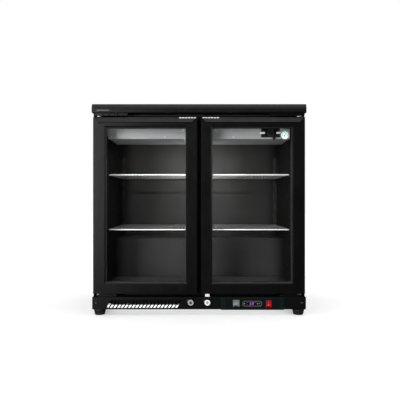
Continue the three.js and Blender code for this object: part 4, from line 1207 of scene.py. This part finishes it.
def fan(node, hub, blades, pitch_root, pitch_tip):
    """Twisted blades round a boss, turning about the fan's joint. The pitches are in degrees."""
    low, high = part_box(node)
    centre = spin_centre(node)
    centre.y = (low.y + high.y) / 2
    radius = (high.z - centre.z) * 0.985
    depth = high.y - low.y
    chord = min(TURN * radius / blades * 0.62, depth / math.sin(math.radians(pitch_root)) * 0.9)
    thick = 0.035 * radius + 0.5 * MM
    rotor = merge(*[blade(hub * 0.9, radius, chord, pitch_root, pitch_tip, thick, i * TURN / blades)
                    for i in range(blades)])
    bmesh.ops.transform(rotor, matrix=Matrix.Translation(centre) @ along("-y"), verts=rotor.verts)
    half = depth / 2
    boss = lathe([(0, -half), (hub * 0.92, -half), (hub, -half + 0.1 * hub), (hub, half - 0.2 * hub),
                  (hub * 0.86, half - 0.05 * hub), (hub * 0.3, half), (0, half)], "-y", centre, 48)
    piece(f"{node}_blades", merge(rotor, boss), node, BLACK, node, smooth=45)


def fin_pack(node, fins, rows, columns, tube_r):
    """Thin fins across the coil's length, with copper tubes through them and bends at both ends."""
    low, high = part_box(node)
    ends = 9 * MM
    x0, x1 = low.x + ends, high.x - ends
    shapes = []
    for i in range(fins):
        x = x0 + (x1 - x0) * i / (fins - 1)
        shapes.append(block((x - 0.14 * MM, low.y, low.z), (x + 0.14 * MM, high.y, high.z)))
    for x in (x0 - 0.8 * MM, x1 + 0.8 * MM):
        shapes.append(block((x - 0.8 * MM, low.y, low.z), (x + 0.8 * MM, high.y, high.z), 0.3 * MM))
    piece(f"{node}_fins", merge(*shapes), "cabinet", FINS, node)
    tubes = []
    pitch = (high.z - low.z) / rows
    for column in range(columns):
        y = low.y + (high.y - low.y) * (column + 0.5) / columns
        path = []
        for row in range(rows):
            z = low.z + pitch * (row + 0.5)
            runs = (x0, x1) if row % 2 == 0 else (x1, x0)
            path += [(runs[0], y, z), (runs[1], y, z)]
            if row < rows - 1:
                turn = 1 if row % 2 == 0 else -1
                for k in range(1, 8):
                    a = -math.pi / 2 + math.pi * k / 8
                    path.append((runs[1] + turn * min(pitch / 2, 6 * MM) * math.cos(a), y,
                                 z + pitch / 2 + pitch / 2 * math.sin(a)))
        tubes.append(sweep(path, tube_r, 10))
    piece(f"{node}_tubes", merge(*tubes), "cabinet", COPPER, smooth=50)


def evaporator_cover():
    """The cover with its screws, and the white bracket at its left end."""
    node = "evaporator_cover"
    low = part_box(node)[0]
    refined(node, "cabinet", PALE, 0.9, 3)
    spots = [(x, low.y + 0.1 * MM, low.z + 8 * MM) for x in COVER_SCREWS_X]
    screws("evaporator_cover_screws", "cabinet", STEEL, spots, "-y", 2.8 * MM)
    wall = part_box("inner_liner")[0].x + 1.5 * MM
    (y0, y1), (z0, z1) = BRACKET_Y, BRACKET_Z
    bracket = prism([(y0, z0), (y1, z0), (y1, z1), (y0, z1)], "x", wall + 0.2 * MM, wall + 4.8 * MM, 0.8 * MM)
    piece("evaporator_cover_bracket", bracket, "cabinet", WHITE)


def fan_shroud():
    """A black plate inside the cover's mouth, with a lipped hole for the fan."""
    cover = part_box("evaporator_cover")[0]
    x, _, z = spin_centre("evaporator_fan")
    half_x, half_z = 46 * MM, 24 * MM
    y0, y1 = cover.y + 3 * MM, cover.y + 4.2 * MM
    outline = round_outline(x - half_x, x + half_x, z - half_z, z + half_z, 3 * MM)
    plate = prism(outline, "y", y0, y1, 0.3 * MM)
    hole = lathe(in_mm((0, -2), (22, -2), (22, 4), (0, 4)), "y", (x, y0, z), 64)
    lip = lathe(in_mm(
        (22.2, 0), (24, 0), (24, 1.6), (23, 9), (22.2, 9), (22.2, 0),
    ), "y", (x, y0 + 0.6 * MM, z), 64)
    piece("evaporator_fan_shroud", merge(carve(plate, hole), lip), "cabinet", BLACK)


def evaporator_motor():
    """A flat round motor in front of the fan, on two arms with pale ends, with a sensor bulb below it."""
    node = "evaporator_fan_motor"
    low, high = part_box(node)
    x, _, z = spin_centre("evaporator_fan")
    front = low.y
    radius = (high.z - low.z) / 2
    waist = radius - 0.8 * MM
    can = lathe([
        (0, 0), (5 * MM, 0), (5.6 * MM, 0.8 * MM), (9 * MM, 0.8 * MM), (9.6 * MM, 0), (radius - MM, 0.2 * MM),
        (radius, 1.4 * MM), (radius, 12 * MM), (waist, 12.6 * MM), (waist, 14 * MM),
        (radius, 14.6 * MM), (radius, 25 * MM), (radius - MM, 26 * MM), (0, 26 * MM),
    ], "y", (x, front, z), 64)
    studs = []
    for i in range(14):
        a = i * TURN / 14
        reach = radius - 3.4 * MM
        spot = (x + reach * math.cos(a), front + 0.3 * MM, z + reach * math.sin(a))
        studs.append(lathe(in_mm((0, 0), (1.1, 0), (0.9, 0.7), (0, 0.9)), "-y", spot, 12))
    piece("evaporator_fan_motor_studs", merge(*studs), "cabinet", BEZEL)
    end = (high.x - low.x) / 2
    arm_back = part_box("evaporator_cover")[0].y - 0.3 * MM
    inner, outer = [], []
    for side in (-1, 1):
        root = sorted((x + side * (radius - 2 * MM), x + side * (end - 21 * MM)))
        tip = sorted((x + side * (end - 22 * MM), x + side * end))
        inner.append(block((root[0], arm_back - 2.6 * MM, z - 2.6 * MM),
                           (root[1], arm_back - 0.2 * MM, z + 2.6 * MM), 0.6 * MM, 3))
        outer.append(block((tip[0], arm_back - 3 * MM, z - 4 * MM),
                           (tip[1], arm_back, z + 4 * MM), 0.8 * MM, 3))
        outer.append(screw((x + side * (end - 4 * MM), arm_back - 2.9 * MM, z), "-y", 2.4 * MM))
    piece("evaporator_fan_motor_can", merge(can, *inner), "cabinet", BLACK, node)
    piece("evaporator_fan_motor_arms", merge(*outer), "cabinet", WHITE)
    bulb_x = x + 14 * MM
    stem = [(x + 10 * MM, front + 6 * MM, z - 12 * MM), (x + 11 * MM, front - MM, z - 15 * MM),
            (bulb_x, front - MM, SENSOR_Z + 6 * MM), (bulb_x, front - MM, SENSOR_Z)]
    bulb = lathe(in_mm(
        (0, -9), (3.6, -8.2), (5.8, -5.4), (6.2, 2), (4.6, 6), (0, 7.6),
    ), "z", (bulb_x, front - MM, SENSOR_Z), 32)
    piece("air_sensor", merge(sweep(stem, 1.6 * MM, 10), bulb), "cabinet", BLACK)


def lamp():
    """The lamp's housing with its bosses, and the glowing cover under it."""
    node = "lamp_housing"
    refined(node, "cabinet", PALE, 1.2, 3)
    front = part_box(node)[0].y
    rings = []
    for _, side in SIDES:
        rings.append(lathe(in_mm(
            (3.2, 0), (6.2, 0), (6.4, 0.6), (5.6, 1.5), (4, 1.5), (3.2, 0.8), (3.2, 0),
        ), "-y", (side * LAMP_SCREW_X, front + 0.2 * MM, LAMP_SCREW_Z), 40))
        rings.append(screw((side * LAMP_SCREW_X, front, LAMP_SCREW_Z), "-y", 2.6 * MM))
    piece("lamp_housing_bosses", merge(*rings), "cabinet", STEEL)
    low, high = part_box("lamp_diffuser")
    tube = prism(round_outline(low.y, high.y, low.z, high.z, 3.6 * MM, 5), "x", low.x, high.x, 0.5 * MM)
    piece("lamp_diffuser_cover", tube, "cabinet", LAMP_GLOW, "lamp_diffuser")
    area_light("cabinet_lamp", ((low.x + high.x) / 2, high.y + 20 * MM, low.z - 12 * MM),
               (0, 0.1, 0.2), (0.3, 0.02), LAMP_POWER, (1, 0.98, 0.95))


def compressor():
    """The welded can on its plate, with the relay box, the rubber mounts and their bolts."""
    node = "compressor"
    x, y, _ = middle(node)
    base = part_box(node)[0].z
    shell = [(0, 12)]
    for i in range(9):
        a = math.radians(90 * i / 8)
        shell.append((45 + 30 * math.sin(a), 12 + 26 * (1 - math.cos(a))))
    shell += [(77, 80), (77.4, 88), (79.4, 89), (79.4, 93), (77.4, 94), (76.6, 104)]
    for i in range(1, 13):
        a = math.radians(90 * i / 12)
        shell.append((36 + 40 * math.cos(a), 108 + 58 * math.sin(a)))
    shell.append((0, 168))
    can = lathe(in_mm(*shell), "z", (x, y, base), 96)
    plate = prism(round_outline(x - 105 * MM, x + 105 * MM, y - 62 * MM, y + 62 * MM, 14 * MM), "z",
                  base + 10 * MM, base + 13 * MM, 0.6 * MM)
    piece("compressor_shell", merge(can, plate), "cabinet", GLOSS_PAINT, node)
    relay = prism(round_outline(x - 104 * MM, x - 66 * MM, y - 32 * MM, y + 32 * MM, 6 * MM), "z",
                  base + 60 * MM, base + 120 * MM, 2 * MM, 3)
    places = [Vector((x + dx, y + dy, base)) for dx in (-MOUNT_X, MOUNT_X) for dy in (-MOUNT_Y, MOUNT_Y)]
    rubber = in_mm((0, 0), (13, 0), (13.4, 2), (10.6, 5), (13, 8), (12, 10), (0, 10))
    mounts = [lathe(rubber, "z", place, 40) for place in places]
    piece("compressor_mounts", merge(relay, *mounts), "cabinet", BLACK)
    bolts = [place + Vector((0, 0, 12.8 * MM)) for place in places]
    screws("compressor_bolts", "cabinet", STEEL, bolts, "z", 6 * MM)


def refrigerant_pipes():
    """The suction, discharge and process tubes of the compressor, and the drier between its two tubes."""
    x, y, _ = middle("compressor")
    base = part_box("compressor")[0].z

    def at(dx, dy, height):
        """A point in millimetres from the middle of the compressor's foot."""
        return (x + dx * MM, y + dy * MM, base + height * MM)

    angles = [i * TURN / 24 for i in range(1, 7)]
    bend = [at(88 + 15 * math.sin(a), 58, 133 - 15 * math.cos(a)) for a in angles]
    suction = [at(60, 40, 118), at(88, 58, 118), *bend, at(103, 58, 190),
               (x + 103 * MM, y + 58 * MM, 255 * MM)]
    discharge = [at(-50, -52, 70), at(-78, -72, 70), at(-130, -76, 70), at(-240, -62, 70), at(-356, -62, 70)]
    process = [at(40, 62, 60), at(46, 80, 62), at(47, 86, 74), at(47, 86, 112)]
    drier = lathe(in_mm((0, -40), (3, -38), (9, -28), (9.4, -24), (9.4, 24), (9, 28), (3, 38), (0, 40)), "z",
                  (-60 * MM, y + 30 * MM, 140 * MM), 40)
    feed = in_mm((-60, 180, 176), (-60, 180, 205), (-58, 174, 230), (-50, 170, 258))
    outlet = in_mm((-60, 180, 104), (-60, 180, 70), (-70, 160, 52), (-104, 91, 44), (-132, 91, 43))
    tubes = [sweep(suction, 3.2 * MM, 12), sweep(discharge, 2.6 * MM, 12), sweep(process, 2.6 * MM, 12),
             drier, sweep(feed, 1.6 * MM, 10), sweep(outlet, 2.6 * MM, 12)]
    piece("refrigerant_pipes", merge(*tubes), "cabinet", COPPER, smooth=50)


def condenser_fan():
    """The condenser fan's motor on its post, and the shroud round its blades."""
    low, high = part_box("condenser_fan_motor")
    fan_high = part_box("condenser_fan")[1]
    x, _, z = spin_centre("condenser_fan")
    depth = high.y - low.y
    can = lathe([(0, 0), (26 * MM, 0), (30 * MM, 4 * MM), (30 * MM, 14 * MM), (28.6 * MM, 16 * MM),
                 (28.6 * MM, 36 * MM), (30 * MM, 38 * MM), (30 * MM, depth - 6 * MM), (24 * MM, depth),
                 (0, depth)],
                "y", (x, low.y, z), 56)
    y0, y1 = FAN_POST_Y
    post = block((x - 10 * MM, y0, low.z), (x + 10 * MM, y1, z - 12 * MM), 1.5 * MM)
    foot = block((x - 26 * MM, y0 - 4 * MM, low.z), (x + 26 * MM, y1 + 4 * MM, low.z + 3 * MM), 0.8 * MM)
    piece("condenser_fan_motor_can", merge(can, post, foot), "cabinet", BLACK, "condenser_fan_motor")
    radius = fan_high.z - z
    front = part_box("condenser_coil")[1].y
    mouth = fan_high.y - front - 2 * MM
    shroud = lathe([
        (radius + 3 * MM, mouth), (radius + 4.4 * MM, mouth), (radius + 4.4 * MM, 7 * MM),
        (radius + 9 * MM, 1.8 * MM), (radius + 9 * MM, 0.6 * MM), (radius + 3 * MM, 6.5 * MM),
        (radius + 3 * MM, mouth),
    ], "y", (x, front, z), 96)
    piece("condenser_fan_shroud", shroud, "cabinet", BLACK)


def drip_tray():
    """A drafted bowl with a rolled rim."""
    low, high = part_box("drip_tray")
    wall = 1.6 * MM
    draft = 3 * MM

    def ring(inset, z):
        outline = round_outline(low.x + inset, high.x - inset, low.y + inset, high.y - inset, 10 * MM)
        return [(u, v, z) for u, v in outline]

    rings = [ring(draft, low.z), ring(MM, high.z - 3 * MM), ring(0, high.z - 2 * MM), ring(0, high.z),
             ring(wall + MM, high.z), ring(wall + draft, low.z + wall)]
    piece("drip_tray_bowl", loft(rings), "cabinet", BLACK, "drip_tray")


def mains_inlet():
    """The socket and its three pins."""
    low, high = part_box("mains_inlet")
    refined("mains_inlet", "cabinet", BLACK, 0.8)
    x, _, z = middle("mains_inlet")
    pins = [block((x + dx - MM, low.y + 1.9 * MM, z + dz - 2 * MM),
                  (x + dx + MM, high.y - 1.6 * MM, z + dz + 2 * MM), 0.4 * MM)
            for dx, dz in in_mm((-6.5, -2.5), (0, 2.5), (6.5, -2.5))]
    piece("mains_inlet_pins", merge(*pins), "cabinet", STEEL)


def cooling():
    evaporator_cover()
    fan_shroud()
    evaporator_motor()
    lamp()
    fin_pack("evaporator_coil", 120, 3, 3, 3.4 * MM)
    fin_pack("condenser_coil", 90, 8, 2, 3.4 * MM)
    fan("evaporator_fan", 8 * MM, 5, 38, 26)
    fan("condenser_fan", 24 * MM, 5, 34, 20)
    compressor()
    refrigerant_pipes()
    condenser_fan()
    drip_tray()
    mains_inlet()


# ---- Controls -----------------------------------------------------------------------------------

SEGMENTS = {
    "a": ((0, 2), (1, 2)), "b": ((1, 2), (1, 1)), "c": ((1, 1), (1, 0)), "d": ((0, 0), (1, 0)),
    "e": ((0, 1), (0, 0)), "f": ((0, 2), (0, 1)), "g": ((0, 1), (1, 1)),
}
FIGURES = (("abcdg", 211 * MM), ("abcdefg", 222 * MM))     # a 3 and an 8: their segments and left edges
FIGURE_WIDTH = 5.6 * MM
FIGURE_HEIGHT = 10.8 * MM
FIGURE_LEAN = 0.06 * FIGURE_HEIGHT
BAR_THICK = 0.9 * MM
PANEL_SCREWS_X = (102 * MM, 348 * MM)
PANEL_SCREWS_Z = 45.5 * MM
ROCKER_PIVOT_Y = -251.8 * MM
ROCKER_TILT = -0.12              # at rest, in radians


def figure(segments, x, z, y):
    """A seven-segment figure, its lower left corner at x, z."""
    bars = []
    for segment in segments:
        (u0, v0), (u1, v1) = SEGMENTS[segment]
        a = Vector((x + u0 * FIGURE_WIDTH + FIGURE_LEAN * v0, z + v0 * FIGURE_HEIGHT / 2))
        b = Vector((x + u1 * FIGURE_WIDTH + FIGURE_LEAN * v1, z + v1 * FIGURE_HEIGHT / 2))
        heading = (b - a).normalized()
        side = Vector((-heading.y, heading.x)) * BAR_THICK / 2
        a, b = a + heading * 0.55 * BAR_THICK, b - heading * 0.55 * BAR_THICK
        tip = heading * BAR_THICK / 2
        points = [a - tip * 0.6, a + side, b + side, b + tip * 0.6, b - side, a - side]
        bars.append(prism([tuple(p) for p in points], "y", y - 0.12 * MM, y + 0.1 * MM))
    return merge(*bars)


def controller():
    """The controller with its rim, its two figures, three small marks and three button caps."""
    node = "temperature_controller"
    low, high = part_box(node)
    refined(node, "cabinet", GLOSS_BLACK, 0.3)
    face = low.y
    half = (high.z - low.z) / 2
    rim = 1.5 * MM
    x0, x1, z0, z1 = low.x, high.x, low.z, high.z
    outer = round_outline(x0 + 0.3 * MM, x1 - 0.3 * MM, z0 + 0.3 * MM, z1 - 0.3 * MM, half - 0.4 * MM, 16)
    inner = round_outline(x0 + rim, x1 - rim, z0 + rim, z1 - rim, half - rim - 0.1 * MM, 16)
    bm = bmesh.new()
    back, front = face + 0.2 * MM, face - 0.5 * MM
    loops = [[bm.verts.new((u, y, v)) for u, v in outline]
             for outline, y in ((outer, back), (outer, front), (inner, front), (inner, back))]
    bridge(bm, loops, around=True)
    piece("controller_bezel", round_edges(outward(bm), 0.2 * MM), "cabinet", BEZEL)
    figures = [figure(segments, x, z0 + 6 * MM, face) for segments, x in FIGURES]
    piece("controller_digits", merge(*figures), "cabinet", DIGIT_GLOW)
    dot = in_mm((0, 0), (0.9, 0), (0.8, 0.3), (0, 0.4))
    places = ((203 * MM, z1 - 6 * MM), (203 * MM, z0 + 7 * MM), (235 * MM, z1 - 6 * MM))
    marks = [lathe(dot, "-y", (x, face + 0.1 * MM, z), 16) for x, z in places]
    piece("controller_marks", merge(*marks), "cabinet", MARK_GLOW)
    for word in ("set", "down", "up"):
        button = f"controller_button_{word}"
        b_low, b_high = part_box(button)
        radius, depth = (b_high.x - b_low.x) / 2, b_high.y - b_low.y
        centre = middle(button)
        centre.y = b_low.y
        dome = lathe([(0, 0), (radius * 0.45, 0.12 * MM), (radius * 0.8, 0.35 * MM), (radius, 0.9 * MM),
                      (radius, depth), (0, depth)], "y", centre, 40)
        piece(f"{button}_cap", dome, button, BEZEL, button)


def rocker_switch(word, finish, housing_finish, marked):
    """A rocker with soft edges in its flanged housing; the marks sit on its two faces."""
    housing, rocker = f"{word}_switch_housing", f"{word}_switch_rocker"
    refined(housing, "cabinet", housing_finish, 0.5)
    refined(rocker, rocker, finish, 0.9, 3, 20)
    low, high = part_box(housing)
    half = (high.x - low.x) * 0.3
    x, _, z = middle(housing)
    # Painted shade: a black block across the foot of the housing, where the arch between its feet lies in shade.
    painted_shade_notch = block((x - half, low.y - 0.2 * MM, low.z - 0.1 * MM),
                  (x + half, low.y + 0.6 * MM, low.z + 3 * MM), 0.2 * MM)
    piece(f"{housing}_notch", painted_shade_notch, "cabinet", BLACK)
    if not marked:
        return
    pivot = Vector((x, ROCKER_PIVOT_Y, z))
    lean = math.atan2(1.8 * MM, (high.z - low.z) / 2 - 4.6 * MM)
    shapes = []
    for sign in (1, -1):
        if sign > 0:
            mark = block((-0.5 * MM, -0.12 * MM, -2.6 * MM), (0.5 * MM, 0.4 * MM, 2.6 * MM), 0.08 * MM)
        else:
            mark = lathe(in_mm(
                (1.9, -0.4), (2.8, -0.4), (2.8, 0.12), (1.9, 0.12), (1.9, -0.4),
            ), "-y", (0, 0, 0), 36)
        reach = 5.4 * MM
        place = (Matrix.Translation(pivot) @ Matrix.Rotation(ROCKER_TILT, 4, "X")
                 @ Matrix.Translation((0, -4.2 * MM - reach * math.tan(lean), sign * reach))
                 @ Matrix.Rotation(sign * lean, 4, "X"))
        bmesh.ops.transform(mark, matrix=place, verts=mark.verts)
        shapes.append(mark)
    piece(f"{rocker}_marks", merge(*shapes), rocker, MARK)


def lock(word, finish, core_shade_finish):
    """A lock: its ring, its plug with a slotted core and a tail, and its bolt. The right one is turned up. The
    core takes a darker finish than the plug, painted shade in the keyway.
    """
    barrel, plug, bolt = (f"lock_{part}_{word}" for part in ("barrel", "plug", "bolt"))
    low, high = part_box(barrel)
    x, _, z = middle(barrel)
    depth = high.y - low.y
    ring = lathe([
        *in_mm((7, 11), (7, 6), (12.4, 6), (12.4, 0.7), (12.9, 0.1), (13.6, 0), (15.4, 0.1), (16.7, 0.8),
               (17, 1.6), (17, 2.4), (14.5, 2.4)),
        (14.5 * MM, depth), (7 * MM, depth), (7 * MM, 11 * MM),
    ], "y", (x, low.y, z), 72)
    piece(f"{barrel}_ring", ring, "cabinet", GLOSS_BLACK, barrel)
    p_low, p_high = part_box(plug)
    nose, depth = p_low.y, p_high.y - p_low.y
    face = lathe([
        *in_mm((0, 0.5), (6.4, 0.5), (7, 0.1), (10.8, 0), (11.6, 0.3), (12, 1), (12, 5.9), (6.5, 5.9)),
        (6.5 * MM, depth), (0, depth),
    ], "y", (x, nose, z), 72)
    upright = word == "right"
    size = (0.95 * MM, 4.6 * MM) if upright else (4.6 * MM, 0.95 * MM)

    def slot_cutter():
        return block((x - size[0], nose - MM, z - size[1]), (x + size[0], nose + 4.5 * MM, z + size[1]))

    shape = carve(face, slot_cutter())
    # The core's darker finish is painted shade in the keyway.
    core = lathe(in_mm((0, 0.1), (5.4, 0.1), (6, 0.45), (6, 1), (0, 1)), "y",
                 (x, nose, z), 48)
    piece(f"{plug}_core", carve(core, slot_cutter()), plug, core_shade_finish)
    x0, z0, x1, z1 = (-3.5, -3, 3.5, 13) if upright else (-3, -3.5, 13, 3.5)
    tail = block((x + x0 * MM, p_high.y - 2.5 * MM, z + z0 * MM),
                 (x + x1 * MM, p_high.y, z + z1 * MM), 0.5 * MM)
    piece(f"{plug}_body", merge(shape, tail), plug, finish, plug)
    refined(bolt, bolt, BOLT, 0.8, 3)


def controls():
    """The panel with an inlay round its controls, the controller, the switches and the locks."""
    node = "control_panel"
    low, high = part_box(node)
    refined(node, "cabinet", FILM, 0.5)
    outline = round_outline(low.x + 17 * MM, high.x - 17 * MM, low.z + 5 * MM, high.z - 6 * MM, 2 * MM)
    inset = prism(outline, "y", low.y - 0.05 * MM, low.y + 0.2 * MM)
    holes = []
    for part in ("temperature_controller", "light_switch_housing", "power_switch_housing"):
        p_low, p_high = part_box(part)
        edge = 0.6 * MM
        x0, z0, x1, z1 = p_low.x + edge, p_low.z + edge, p_high.x - edge, p_high.z - edge
        holes.append(prism([(x0, z0), (x1, z0), (x1, z1), (x0, z1)], "y", low.y - MM, low.y + MM))
    piece("control_panel_inlay", carve(inset, *holes), "cabinet", INLAY)
    spots = [(x, low.y + 0.05 * MM, PANEL_SCREWS_Z) for x in PANEL_SCREWS_X]
    screws("control_panel_screws", "cabinet", GLOSS_BLACK, spots, "-y", 4.2 * MM)
    controller()
    rocker_switch("light", GREY, HOUSING_GREY, False)
    rocker_switch("power", RED, RED, True)
    # The locks are alike: the right plug's bright steel is a painted highlight, and the left plug's satin steel
    # with a blackened core is painted shade.
    lock("left", SATIN, DARK_STEEL)
    lock("right", STEEL, SATIN)


camera()
studio(floor())
cabinet()
doors()
shelves()
cooling()
controls()
